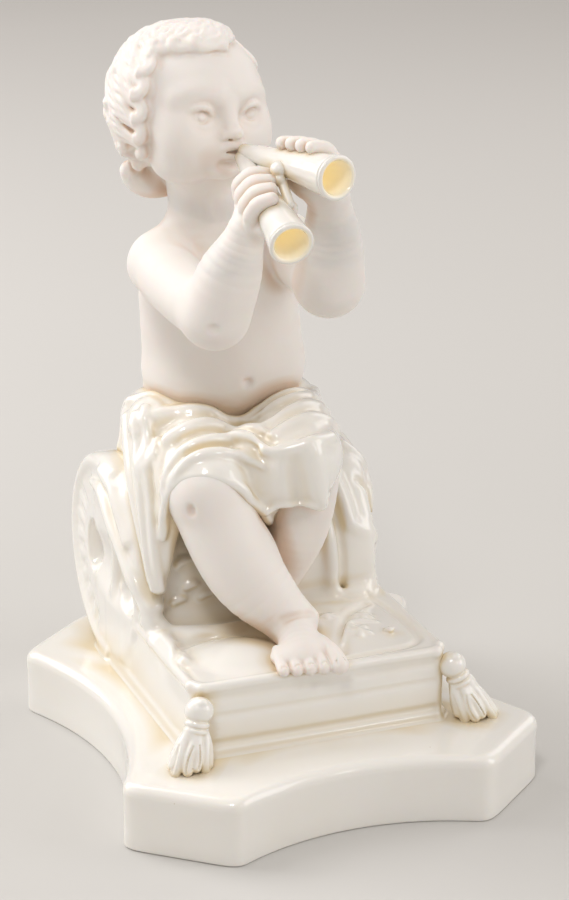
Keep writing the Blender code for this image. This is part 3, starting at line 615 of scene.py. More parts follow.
def side_locks() -> list[Lock]:
    """Stacked curls in front of and over the ears, on both sides."""
    right = [
        Lock(((-96, 72), (-102, 58), (-94, 46), (-80, 38), (-68, 30)), 8.0, 5, -120, 3.2, 0.5),
        Lock(((-126, 60), (-112, 46), (-96, 34), (-82, 24), (-70, 14)), 8.0, 5, -130, 3.3, 0.7),
        Lock(((-134, 40), (-114, 28), (-97, 16), (-83, 6), (-71, -3)), 8.0, 5, -135, 3.3, 0.8),
        Lock(((-138, 20), (-118, 10), (-101, -2), (-87, -10), (-74, -18)), 7.8, 5, -130, 3.2, 0.8),
        Lock(((-142, 2), (-124, -8), (-106, -18), (-92, -26), (-80, -32)), 7.2, 5, -120, 3.0, 0.6),
        Lock(((-132, 72), (-130, 52), (-118, 36), (-110, 22)), 7.4, 5, 120, 3.0, 0.3),
        Lock(((-148, 46), (-136, 26), (-124, 10), (-118, -4)), 7.4, 5, 120, 3.0, 0.3),
        Lock(((-152, 18), (-140, -2), (-126, -20), (-114, -30)), 7.0, 5, -110, 2.9, 0.3),
        Lock(((-152, -6), (-142, -22), (-130, -36), (-118, -44)), 6.6, 4, 100, 2.6, 0.2),
    ]
    behind = 13
    left = [
        Lock(tuple((behind - longitude, latitude) for longitude, latitude in lock.path),
             lock.width, lock.strands, -lock.curl, lock.size, lock.lift - 0.3)
        for lock in right
    ]
    return right + left


def back_locks() -> list[Lock]:
    """Rows of short waves down the back of the head, swung left and right by turns.

    Each row has its top latitude, its drop, its lift and the width of its seven locks.
    """
    made = []
    rows = (
        (84, 24, -0.2, 7.0), (56, 26, 0.0, 7.2), (28, 26, 0.2, 7.2), (2, 24, 0.3, 7.0),
        (-20, 22, 0.3, 6.4),
    )
    step, reach = 18, 9
    for row, (top, drop, lift, width) in enumerate(rows):
        for number in range(7):
            middle = 186 + (number - 3) * step + (step // 2 if row % 2 else 0)
            swing = reach if (number + row) % 2 else -reach
            path = (
                (middle, top),
                (middle + swing, top - drop * 0.35),
                (middle - swing * 0.5, top - drop * 0.8),
                (middle + swing * 0.9, top - drop * 1.25),
            )
            made.append(Lock(path, width, 5, math.copysign(130, -swing), 2.8, lift))
    return made


def face_solids() -> list:
    """A calm child's face on common proportions: eyes at half height, full cheeks, short nose."""
    h = HEAD
    made = [
        h.ball((0, -6, -7.5), (15.8, 13.5, 12.3), blend=4),
        h.ball((0, -15, -16.2), (5.0, 3.8, 3.8), blend=3.5),
        h.ball((0, -14.8, -11.2), (6.6, 4.6, 4.8), blend=3.5),
    ]
    for side in (-1, 1):
        made += [
            h.ball((side * 10.4, -11.6, -8.4), (7.9, 6.8, 7.6), blend=4.5),
            h.ball((side * 11.5, -8.0, -3.0), (6.4, 7.0, 6.0), blend=5),
            h.ball((side * 8.0, -5.5, -14.5), (8.0, 8.5, 6.5), blend=5),
            h.limb([(side * 3.6, -17.4, 4.6, 1.4), (side * 8.6, -16.6, 5.6, 1.5),
                    (side * 13.4, -13.2, 3.6, 1.2)], blend=4.5),
        ]
    return made


def face_details(clay: Clay) -> None:
    """Eyes, nose and mouth on the clay of the face.

    Args:
        clay: The head's clay, which gets the details.
    """
    h = HEAD
    for side in (-1, 1):
        clay.carve(h.ball((side * 8.2, -21.4, -1.6), (5.2, 4.2, 3.6), blend=2.8))
        clay.carve(h.ball((side * 4.6, -20.4, -2.0), (1.7, 2.4, 2.0), blend=1.6))
    for side in (-1, 1):
        clay.add(h.ball((side * 8.3, -13.6, -2.0), (4.6, 4.2, 4.2), blend=0.25))
        upper = [(side * 3.9, -16.9, -2.6, 0.6), (side * 5.6, -18.0, 0.2, 0.95),
                 (side * 8.8, -18.3, 1.3, 1.1), (side * 11.8, -16.2, 0.1, 0.95),
                 (side * 13.2, -14.2, -2.2, 0.6)]
        lower = [(side * 4.2, -16.8, -2.9, 0.5), (side * 6.4, -17.8, -4.7, 0.75),
                 (side * 9.4, -17.3, -4.9, 0.75), (side * 12.6, -14.8, -3.0, 0.5)]
        clay.add(h.limb(upper, blend=0.8), h.limb(lower, blend=1.1))
        iris = [(side * 8.2 + 1.8 * math.cos(a), -17.8 + 0.2 * abs(math.cos(a)),
                 -1.7 + 1.8 * math.sin(a), 0.2) for a in np.linspace(0, 2 * math.pi, 13)]
        clay.carve(h.limb(iris, blend=0.5))
    clay.add(
        h.limb([(0, -18.4, 2.2, 1.5), (0, -19.3, -2.0, 1.5), (0, -20.9, -5.8, 1.9)], blend=2.2),
        h.ball((0, -21.4, -6.6), (2.3, 2.1, 1.9), blend=1.5),
        h.ball((-2.2, -19.7, -7.2), (1.5, 1.7, 1.4), blend=1.1),
        h.ball((2.2, -19.7, -7.2), (1.5, 1.7, 1.4), blend=1.1),
    )
    for side in (-1, 1):
        clay.carve(h.ball((side * 1.1, -20.9, -8.4), (0.6, 0.8, 0.7), blend=0.6))
    clay.carve(h.limb([(0, -20.3, -8.9, 0.35), (0, -20.4, -10.2, 0.45)], blend=1.0))
    clay.add(
        h.limb([(-3.6, -17.7, -11.3, 0.9), (-0.8, -20.3, -9.9, 1.5), (0.9, -20.6, -9.9, 1.5),
                (2.6, -20.3, -9.9, 1.5), (5.0, -17.5, -11.3, 0.9)], blend=1.0),
        h.limb([(-3.0, -17.4, -12.6, 0.9), (0.9, -20.4, -13.9, 1.8), (4.6, -17.2, -12.6, 0.9)],
               blend=1.0),
    )
    clay.carve(h.limb([(-3.6, -18.3, -11.8, 0.3), (0.9, -21.4, -11.9, 0.6),
                       (5.0, -18.1, -11.8, 0.3)], blend=0.6))
    clay.carve(h.limb([(-2.6, -18.9, -15.6, 0.5), (0, -19.3, -15.8, 0.6), (2.6, -18.9, -15.6, 0.5)],
                      blend=2.0))


def neck() -> list[Limb]:
    """The neck, which the head and the body share so that their skins meet."""
    return [SEAT.limb([(-9.5, 30, 66, 11.5), (-11.5, 28, 76, 9.6), (-13.5, 26.5, 88, 10)], blend=4)]


def head_clay() -> Clay:
    """Head, face, neck and hair."""
    clay = Clay((-48, -5, SEAT_TOP + 66), (17, 60, SEAT_TOP + 137), 0.32)
    h = HEAD
    clay.add(h.ball(SKULL_MIDDLE, SKULL, blend=4))
    clay.add(*face_solids())
    clay.add(*neck())
    clay.add(SEAT.limb([(-13, 22, 90, 7.5), (-11.5, 20.5, 95, 5.5)], blend=4))
    face_details(clay)
    clay.add(h.ball((0.6, 6.0, 4.0), (20.6, 19.0, 20.2), blend=1.5))
    clay.add(h.ball((0, 9.6, -6), (19, 13, 12.5), blend=2))
    for side in (-1, 1):
        clay.add(h.ball((side * 13.6, 2.5, 3), (8.2, 9, 14), blend=2))
    for lock in back_locks() + side_locks() + fringe_locks():
        clay.add(lock.bed(), *lock.solids(), margin=3)
    nape = [(-31.5, 35, 87, 3.0), (-29, 37.5, 83.5, 4.2), (-23, 38.5, 81, 4.4),
            (-15, 41, 81.5, 4.0)]
    clay.add(SEAT.limb(nape, blend=1.0))
    for shift in (-3.0, -1.2, 0.6, 2.4, 3.6):
        lane = [(x - 0.5, y - 2.6 + 0.35 * abs(shift), z + shift * r / 4.4, 1.0)
                for x, y, z, r in nape]
        clay.add(SEAT.limb(lane, blend=0.6), margin=3)
    clay.add(SEAT.limb([(-14, 42, 81, 3.4), (-6, 42, 82, 3.2), (0, 39, 84, 3.0), (4, 35, 88, 2.6)],
                       blend=1.5))
    clay.add(SEAT.ball((-12.5, 38.5, 87), (15, 7.5, 7), blend=3))
    return clay


def ring(centre: Point, along: Point, radius: float, thick: float, blend: float) -> Limb:
    """A closed circle round a line, for skin creases and bindings.

    Args:
        centre: Middle of the circle.
        along: Direction that the circle faces.
        radius: Of the circle.
        thick: Radius of the tube.
        blend: Blend of the tube.

    Returns:
        The tube.
    """
    axis = Vector(along).normalized()
    first = axis.orthogonal().normalized()
    second = axis.cross(first)
    nodes = [
        (*(Vector(centre) + (first * math.cos(a) + second * math.sin(a)) * radius), thick)
        for a in np.linspace(0, 2 * math.pi, 19)
    ]
    return Limb(np.array(nodes), blend)


def forearms() -> list[Limb]:
    """Both forearms, which the arms and the hands share."""
    return [
        SEAT.limb([(-22.5, -12, 55.5, 9.6), (-20, -14.5, 66, 9.9), (-17, -17, 75, 6.6),
                   (-15, -18.5, 83, 4.3)], blend=3),
        SEAT.limb([(11.5, -13, 62, 10), (11, -16, 73, 9.2), (9, -19.5, 83, 6.6), (7, -22, 92, 5)],
                  blend=3),
    ]


def body_clay() -> Clay:
    """Torso, shoulders and arms."""
    clay = Clay((-44, -38, SEAT_TOP - 8), (30, 62, SEAT_TOP + 92), 0.42)
    s = SEAT
    clay.add(
        s.ball((-4, 37, 12), (25, 19.5, 14), blend=5),
        s.ball((-4, 32.5, 26), (25, 21, 19), blend=5),
        s.ball((-5, 32, 38), (24.3, 18.2, 18), blend=4),
        s.ball((-6, 31, 49), (24.2, 17.2, 19), blend=4),
        s.ball((-15.5, 19, 54), (9, 6, 8), blend=4),
        s.ball((2, 19.5, 55), (9, 6, 8), blend=4),
        s.ball((-6, 36, 50), (18, 14, 18), blend=4),
        s.limb([(-25.5, 27, 60.5, 9), (-9, 30, 65, 10.5), (13.5, 28, 62.5, 9)], blend=3.5),
        s.limb([(-25, 28, 63, 6), (-15, 29, 69, 7.5), (-9, 30, 74, 7), (-2, 31, 70, 7.5),
                (11, 30, 65, 6)], blend=3.5),
        *neck(),
        s.limb([(-25.5, 26, 60.5, 9.2), (-26, 8, 57, 9.4), (-22.5, -11, 56, 9)], blend=2.5),
        s.limb([(13.5, 27, 62.5, 9.2), (14, 8, 62, 9.2), (11.5, -11, 62, 9.4)], blend=2.5),
    )
    clay.add(*forearms())
    clay.carve(s.ball((-4, 10.6, 26.4), (1.5, 2.0, 1.3), blend=1.6))
    clay.add(s.ball((-4, 13.2, 27.9), (1.4, 1.0, 0.7), blend=0.8))
    clay.carve(
        clay.strand([(-7, 50, 66, 1.4), (-5.5, 52, 48, 1.6), (-5, 56, 30, 1.6), (-5, 58, 18, 1.4)],
                    blend=4, sink=0.1),
        clay.strand([(-26, 18, 46, 0.5), (-18, 13, 44, 0.6), (-9, 15, 46, 0.5)],
                    blend=2.4, sink=0.2),
        clay.strand([(-5, 15, 46, 0.5), (3, 13, 45, 0.6), (11, 18, 47, 0.5)], blend=2.4, sink=0.2),
        clay.strand([(-7, 14, 50, 0.6), (-6.5, 12, 40, 0.8), (-5, 11, 31, 0.6)], blend=3, sink=0.2),
        clay.strand([(-27, 24, 30, 0.4), (-18, 12, 33, 0.5), (-8, 10, 34, 0.4)],
                    blend=2.4, sink=0.2),
        clay.strand([(0, 10, 34, 0.4), (10, 12, 33, 0.5), (19, 22, 31, 0.4)], blend=2.4, sink=0.2),
        clay.strand([(-20, 25, 72, 0.5), (-12, 18, 74, 0.6), (-3, 25, 73, 0.5)],
                    blend=1.6, sink=0.2),
        ring((-16.6, -17.6, SEAT_TOP + 78), (2, -1.5, 9), 6.3, 0.35, 1.3),
        ring((8.3, -20.6, SEAT_TOP + 86), (-2, -3, 9), 6.6, 0.35, 1.3),
        s.ball((-26.5, -21.4, 54.5), (1.3, 1.3, 1.1), blend=1.6),
        clay.strand([(-16, -6, 63, 0.4), (-20, -6, 66, 0.6), (-26, -5, 66, 0.4)],
                    blend=1.4, sink=0.2),
        clay.strand([(6, -5, 68, 0.4), (11, -5, 71, 0.6), (17, -5, 70, 0.4)], blend=1.4, sink=0.2),
    )
    return clay


# Pipes and hands


@dataclass(frozen=True)
class Pipe:
    """One slender cone of the double pipe, from its tip in the mouth to its bell."""

    tip: Point
    bell: Point

    def length(self) -> float:
        """From tip to bell."""
        return (Vector(self.bell) - Vector(self.tip)).length

    def frame(self) -> tuple[Vector, Vector, Vector]:
        """Along the pipe, to the child's left, and up."""
        along = (Vector(self.bell) - Vector(self.tip)).normalized()
        left = Vector((1, 0, 0))
        left = (left - along * left.dot(along)).normalized()
        return along, left, along.cross(left).normalized()

    def radius(self, distance: float) -> float:
        """Outer radius at a distance from the tip."""
        return PIPE_TIP_RADIUS + (BELL_RADIUS - PIPE_TIP_RADIUS) * distance / self.length()

    def beside(self, distance: float, angle: float, reach: float) -> Point:
        """A point round the pipe, with the angle from the child's left (0) over the top (90)."""
        along, left, up = self.frame()
        turn = math.radians(angle)
        out = left * math.cos(turn) + up * math.sin(turn)
        return tuple(Vector(self.tip) + along * distance + out * (self.radius(distance) + reach))

    def core(self) -> Limb:
        """What lies inside the pipe's wall, where no flesh may show through the bore."""
        nodes = []
        for distance in (14.0, self.length() / 2, self.length() + 5):
            radius = self.radius(distance)
            nodes.append((*self.beside(distance, 0, -radius), radius - BORE_WALL))
        return Limb(np.array(nodes), 0.1)


UPPER = Pipe((-8.0, 4.5, SEAT_TOP + 97.8), (3.1, -39.0, SEAT_TOP + 99.0))
LOWER = Pipe((-8.6, 4.5, SEAT_TOP + 96.2), (-11.3, -42.0, SEAT_TOP + 82.6))


@dataclass(frozen=True)
class Grip:
    """Four fingers round a pipe: where each sits, where its tip ends, and how they slant."""

    pipe: Pipe
    distances: tuple
    start: float
    stops: tuple
    lean: float

    def fingers(self) -> list[Limb]:
        """The fingers, each with its knuckle, joints and fingertip."""
        made = []
        for distance, stop, grown in zip(self.distances, self.stops, FINGER_SIZES):
            nodes = []
            for step, size in enumerate(FINGER_PROFILE):
                share = step / (len(FINGER_PROFILE) - 1)
                radius = FINGER_RADIUS * size * grown
                angle = self.start + (stop - self.start) * share
                along = distance + self.lean * (share - 0.5)
                nodes.append((*self.pipe.beside(along, angle, radius * 0.8), radius))
            made.append(Limb(np.array(nodes), 0.55, spacing=0.9))
        return made

    def nails(self) -> list[Limb]:
        """The rim of each fingernail, to be carved into the fingertip."""
        turn = math.copysign(1, self.stops[0] - self.start)
        made = []
        for distance, stop in zip(self.distances, self.stops):
            points = []
            for angle, side in ((-14, -1.1), (2, -1.2), (10, 0.0), (2, 1.2), (-14, 1.1)):
                along = distance + self.lean * 0.5 + side
                place = self.pipe.beside(along, stop + angle * turn, FINGER_RADIUS * 1.62)
                points.append((*place, 0.18))
            made.append(Limb(np.array(points), 0.4))
        return made


def hands_clay() -> Clay:
    """Both fists, with the wrists that run on into the arms."""
    clay = Clay((-34, -46, SEAT_TOP + 70), (26, -4, SEAT_TOP + 114), 0.26)
    clay.add(*forearms())
    right = Grip(LOWER, (17.5, 22.4, 27.3, 32.2), 222, (76, 87, 98, 108), 4.0)
    left = Grip(UPPER, (20.0, 24.8, 29.6, 34.4), -38, (92, 93, 94, 96), -0.6)
    palm = LOWER.beside(24, 236, 1.2)
    clay.add(
        SEAT.limb([(-15, -18.5, 82, 4.8), (palm[0], palm[1], palm[2] - SEAT_TOP, 5.0)], blend=2),
        Ball(LOWER.beside(25, 232, 1.0), (4.4, 10.0, 4.6), rotation((16, 0, 0)), 1.6),
    )
    clay.add(*right.fingers())
    thumb = [(-12, -19, 82, 3.2), (-8, -22, 82, 3.0), (-5.5, -24, 85, 2.7), (-5.4, -25, 88, 2.3)]
    clay.add(SEAT.limb(thumb, blend=0.9))
    palm = UPPER.beside(26.5, -52, 1.2)
    clay.add(
        SEAT.limb([(7.4, -23, 90, 5.3), (palm[0], palm[1], palm[2] - SEAT_TOP, 5.2)], blend=2),
        Ball(UPPER.beside(27.5, -40, 1.0), (4.2, 9.6, 4.8), rotation((0, 0, 14)), 1.6),
    )
    clay.add(*left.fingers())
    thumb = [(5.5, -20, 89, 3.2), (2, -18.5, 91, 2.8), (-1, -18, 93.4, 2.4)]
    clay.add(SEAT.limb(thumb, blend=0.9))
    clay.carve(*right.nails(), *left.nails(), UPPER.core(), LOWER.core())
    return clay


# Legs


def leg_clay() -> Clay:
    """The right leg from the knee to its bare foot on the mattress."""
    clay = Clay((-38, -48, SLAB_TOP - 3), (13, 12, SEAT_TOP + 16), 0.34)
    s, m = SEAT, SLAB
    clay.add(
        s.limb([(-21, 6, 3.5, 11.5), (-22.5, -3, 1.5, 12)], blend=3),
        Limb(np.array([
            (-22.5, -4, SEAT_TOP, 11.8), (-19.5, -9, SEAT_TOP - 12, 11.4),
            (-14, -14, SLAB_TOP + 19, 11.2), (-6.5, -18, SLAB_TOP + 10, 8.4),
            (-2.5, -20, SLAB_TOP + 5.5, 6.8),
        ]), 3),
        s.ball((-24.5, -9, 0.5), (7.5, 6.2, 7.5), blend=4),
        m.ball((-12.5, -9, 22), (8.5, 8.5, 12), blend=4),
        m.ball((-2.5, -17, 4.4), (6.0, 6.4, 5.6), blend=3),
        m.ball((3.6, -20, 6.2), (2.0, 2.2, 2.0), blend=2.4),
        m.ball((-8.8, -21.4, 6.6), (2.0, 2.2, 2.0), blend=2.4),
        m.limb([(-2.5, -20, 6, 6.4), (-4, -29, 4.2, 6.2), (-5, -35, 2.4, 4.8)], blend=3),
        m.ball((-5.5, -35, 2.2), (9.2, 6, 3.6), blend=3),
        m.ball((1.2, -34, 2.4), (3.4, 5.4, 3.4), blend=2.5),
    )
    for number, scale in enumerate(TOE_SIZES):
        x = 2.0 - number * TOE_SPACING + (0.6 if number == 0 else 0)
        y = -43.6 + number * 0.7
        r = TOE_RADIUS * scale
        clay.add(m.limb([(x * 0.86 - 0.6, y + 8, 3.4, r * 0.9), (x, y + 3.6, r * 1.35, r * 0.86),
                         (x, y - 0.2, r * 0.45, r)], blend=0.4), margin=4)
        rim = [(x + r * 0.5 * side, y - 0.9 - r * 0.62 * deep, r * (1.17 - 0.34 * deep), 0.2)
               for side, deep in ((-1, 0.9), (-1.1, 0.2), (0, -0.35), (1.1, 0.2), (1, 0.9))]
        clay.carve(m.limb(rim, blend=0.45))
    clay.carve(
        s.ball((-30.6, -13.4, -1), (0.7, 0.7, 1.2), blend=2.0),
        clay.strand([(-7, -26, SLAB_TOP + 9, 0.4), (-2, -27.5, SLAB_TOP + 10, 0.5),
                     (3, -24, SLAB_TOP + 9, 0.4)], blend=1.8, sink=0.2),
    )
    return clay


def far_leg_clay() -> Clay:
    """The left shin, which comes down behind the right one."""
    clay = Clay((-12, -22, SLAB_TOP - 6), (24, 18, SEAT_TOP + 16), 0.5)
    nodes = [
        (8, -4, SEAT_TOP + 2, 10), (7, -4, SEAT_TOP - 12, 9.6), (3, 1, SLAB_TOP + 16, 7.8),
        (-1, 2, SLAB_TOP + 7, 6), (-3, 0, SLAB_TOP + 3, 5),
    ]
    clay.add(Limb(np.array(nodes, float), 3), SLAB.ball((-5, -4, 3.2), (5, 8, 4.2), blend=3))
    return clay


# Lap cloth


def lap_clay() -> Clay:
    """The cloth over hips, thighs and left knee, with the tail that hangs at the right side."""
    clay = Clay((-48, -26, SEAT_TOP - 35), (33, 62, SEAT_TOP + 32), 0.4)
    s = SEAT
    clay.add(
        s.limb([(-17, 34, 4.5, 14), (-20, 16, 5, 14), (-22.5, -4.5, 1, 12.7)], blend=4),
        s.ball((-7, 8, 3), (13, 15, 9), blend=5),
    )
    clay.carve(knee_opening())
    clay.add(
        s.limb([(-8, -3, 9, 8), (-7.5, -6, 2, 7.5), (-5.5, -5.5, -5, 5.2), (-5, -4, -8, 3.4)],
               blend=3),
        s.limb([(9, 34, 4, 14), (9.5, 14, 8, 14), (7, -5, 8, 11.5)], blend=4),
        s.limb([(-26, 34, 11.0, 8.6), (-4, 22, 13, 9), (17, 34, 10.5, 8.2)], blend=5),
        s.limb([(-26, 34, 10, 8.5), (-20, 48, 10, 8), (-4, 52.5, 11, 7.5), (12, 48, 9, 8),
                (17, 34, 9, 8.2)], blend=5),
        s.ball((-2, 36, 0), (33, 21.5, 7.4), blend=4),
        Block(tuple(s.point((3.0, -8.2, 6.6))), (21.0, 21, 22), 8.0, rotation((8, 0, -8)), 3.5),
        s.limb([(4.8, -17.6, 13, 2.6), (5.8, -18.2, 4, 2.2), (7.4, -18.2, -2, 1.6)], blend=4),
        s.limb([(-30, 24, 14, 7), (-32.6, 14, 4, 7), (-34.8, 6, -10, 5.2), (-36, 1, -22, 3.4),
                (-36.4, -0.5, -29, 2.2)], blend=3.5),
        s.limb([(-29, 7, 6, 5.4), (-31, 2, -4, 4.6), (-33.4, 1, -14, 3.2), (-35.4, 0, -22, 2.0)],
               blend=3.5),
    )
    for path, blend in lap_rolls():
        clay.add(clay.strand(s_route(path), blend=blend, sink=0.42), margin=4)
    for path, blend in lap_valleys():
        clay.carve(clay.strand(s_route(path), blend=blend, sink=0.3))
    return clay.soften()


def knee_opening() -> Block:
    """What lies in front of and below the hem, where the right knee comes out bare."""
    back = Vector((0.392, 0.836, 0.383)).normalized()
    across = Vector((0.86, -0.51, 0.0)).normalized()
    across = (across - back * across.dot(back)).normalized()
    up = back.cross(across)
    matrix = np.array([list(across), list(up), list(back)]).T
    hem = SEAT.point((-22, -13, 8))
    centre = hem - np.array(back) * 20 + np.array(across) * -3
    return Block(tuple(centre), (38, 60, 40), 1.0, matrix, 1.5)


def s_route(path: Route) -> Route:
    """Points above the seat, as (x, y, z, radius), in the figurine's millimetres."""
    return [(x, y, SEAT_TOP + z, r) for x, y, z, r in path]


def lap_rolls() -> Folds:
    """Raised folds of the lap cloth, each with its blend."""
    return [
        ([(-33, 34, 17, 1.0), (-27, 25, 18.5, 1.4), (-19, 17, 19, 1.6), (-10, 14, 17.5, 1.5),
          (-2, 13, 16.5, 1.0)], 2.4),
        ([(-5, 12, 16, 0.9), (1, 11, 19, 1.7), (6, 11, 21, 1.9), (14, 15, 20, 1.9),
          (22, 26, 14, 1.6), (24, 36, 12, 1.1)], 1.8),
        ([(-5, 9, 17, 0.8), (2, 7, 20, 1.8), (9, 7, 21, 2.2), (17, 13, 19, 2.2),
          (24, 24, 14, 1.6)], 1.6),
        ([(-6, -2, 16, 0.8), (2, -1, 20, 1.8), (11, 2, 20.5, 2.0), (19, 10, 14, 1.5)], 3.2),
        ([(-7, -10, 16, 0.9), (1, -8, 20, 1.5), (10, -6, 19, 1.5), (17, 0, 12, 1.2)], 3.0),
        ([(-4, 9, 15, 0.9), (-12, 12, 17.5, 1.8), (-20, 15, 18.5, 2.4), (-28, 18, 17.5, 2.4),
          (-34, 20, 13, 2.0)], 2.8),
        ([(-6, -5, 15, 0.8), (-11, 6, 14.5, 1.9), (-17, 7, 16, 2.5), (-24, 6, 16, 2.6),
          (-30, 7, 13, 2.4), (-35, 8, 6, 1.8)], 2.4),
        ([(-7, -11, 14, 0.9), (-9, -3, 13, 1.7), (-16, -1, 14, 2.3), (-24, -3, 14, 2.3),
          (-29, -2, 12, 2.1), (-33, -3, 8, 1.8), (-35, -3, -1, 1.5), (-36, -3, -9, 1.0)], 1.6),
        ([(-8, -12, 9, 0.8), (-11, -8, 10.5, 1.4), (-17, -8, 12.5, 1.9), (-25, -8, 13, 1.9),
          (-29, -7, 11, 1.6), (-34, -6, 5, 1.1)], 1.5),
        ([(-3, -8, -14, 1.3), (-7, -12.4, -9, 1.7), (-11, -15, -3, 1.7), (-16, -15.4, 3.5, 1.7),
          (-22, -13.8, 7.6, 1.7), (-27, -11.2, 8.6, 1.7), (-31, -8, 7.2, 1.6), (-34.5, -6, 3, 1.4),
          (-36, -4, -4, 1.2), (-37, -3, -12, 1.0)], 1.3),
        ([(-8, -13, 14, 1.2), (-5, -17, 15, 1.4), (1, -18, 17, 1.5), (8, -17, 17, 1.5),
          (13, -13, 16, 1.2)], 2.6),
        ([(-7.4, -14, -5.6, 0.9), (-5, -17.6, -5.4, 1.1), (1, -19, -5.0, 1.2),
          (7.6, -18.6, -5.4, 1.3), (13.4, -15, -4.6, 1.1), (15, -8, -3, 0.9)], 1.0),
        ([(-33, 20, 19, 1.4), (-34.4, 13, 12, 1.9), (-36, 7, 4, 1.8), (-36.8, 2, -8, 1.6),
          (-37, -1, -20, 1.4), (-36.6, -2, -28.5, 1.2)], 1.5),
        ([(-36, 20, 17, 1.4), (-38, 11, 7, 1.8), (-39, 5, -6, 1.7), (-38.2, 1, -19, 1.4),
          (-37.2, -1, -28.5, 1.2)], 1.5),
        ([(-32, 8, 12, 1.2), (-33.5, 2, 4, 1.5), (-35, -2, -5, 1.4), (-35.8, -3, -13, 1.0)], 1.6),
        ([(-36, 28, 14, 1.6), (-38.6, 19, 5, 1.9), (-39.4, 11, -6, 1.6), (-38.2, 5, -18, 1.2),
          (-37.4, 1, -27, 1.0)], 2.2),
        ([(-30, 44, 13, 1.2), (-34, 42, 7, 1.5), (-35, 42, 0, 1.0)], 2.6),
        ([(22, 40, 12, 1.2), (30, 36, 6, 1.6), (34, 32, -1, 1.2)], 2.6),
        ([(-20, 56, 15, 1.2), (-4, 60, 15.5, 1.4), (13, 56, 14, 1.3), (22, 44, 12, 1.2)], 2.0),
        ([(-24, 55, 8, 1.2), (-8, 61, 10, 1.5), (10, 58, 8, 1.3), (22, 50, 11, 1.0)], 3.0),
    ]


def lap_valleys() -> Folds:
    """Grooves between the folds of the lap cloth, each with its blend."""
    return [
        ([(-31, 10, 15, 0.5), (-35, 4, 9, 0.8), (-37, 0, 2, 0.8), (-38.5, -2, -8, 0.5)], 1.6),
        ([(-8, -9, 14, 0.4), (-12, -4, 12.5, 0.7), (-20, -5, 13.5, 0.8), (-28, -5, 12, 0.6)], 1.5),
        ([(-7, -8, 15, 0.4), (-11, 2, 14, 0.7), (-20, 3, 15, 0.8), (-29, 3, 13, 0.6)], 1.5),
        ([(-5, 10, 16.5, 0.6), (2, 9, 19.5, 0.7), (9, 9, 21.3, 0.7), (17, 15, 20, 0.6)], 0.9),
        ([(-6.6, -13, 14.0, 0.9), (-6.4, -9, 14.6, 0.9)], 1.8),
        ([(-1.6, -19.4, 10, 1.0), (-1.0, -19.6, 4, 1.5), (0.2, -19, -1, 1.0)], 3.4),
    ]


# Mattress


def roll_route(angles, inset: float, x: float, radius: float) -> list:
    """Points on the roll's end, with angles from the back over the top, as (x, y, z, radius)."""
    reach = ROLL_RADIUS - inset
    return [
        (x, ROLL_BACK + math.cos(math.radians(a)) * reach,
         PLINTH_HEIGHT + ROLL_RADIUS + math.sin(math.radians(a)) * reach, radius)
        for a in angles
    ]


@dataclass(frozen=True)
class Drum:
    """A cylinder that lies along X."""

    low: float
    high: float
    y: float
    z: float
    radius: float
    rounding: float
    blend: float = 2.0

    def box(self) -> tuple[np.ndarray, np.ndarray]:
        """Lowest and highest corner of the solid."""
        r = self.radius
        return (np.array([self.low, self.y - r, self.z - r]),
                np.array([self.high, self.y + r, self.z + r]))

    def distance(self, x: np.ndarray, y: np.ndarray, z: np.ndarray) -> np.ndarray:
        """Distance to the inner drum, less the rounding."""
        middle, half = (self.low + self.high) / 2, (self.high - self.low) / 2
        ends = np.abs(x - middle) - np.float32(half - self.rounding)
        round_part = np.sqrt((y - self.y) ** 2 + (z - self.z) ** 2)
        skin = round_part - np.float32(self.radius - self.rounding)
        past = np.sqrt(np.maximum(ends, 0) ** 2 + np.maximum(skin, 0) ** 2)
        return past + np.minimum(np.maximum(ends, skin), 0) - np.float32(self.rounding)


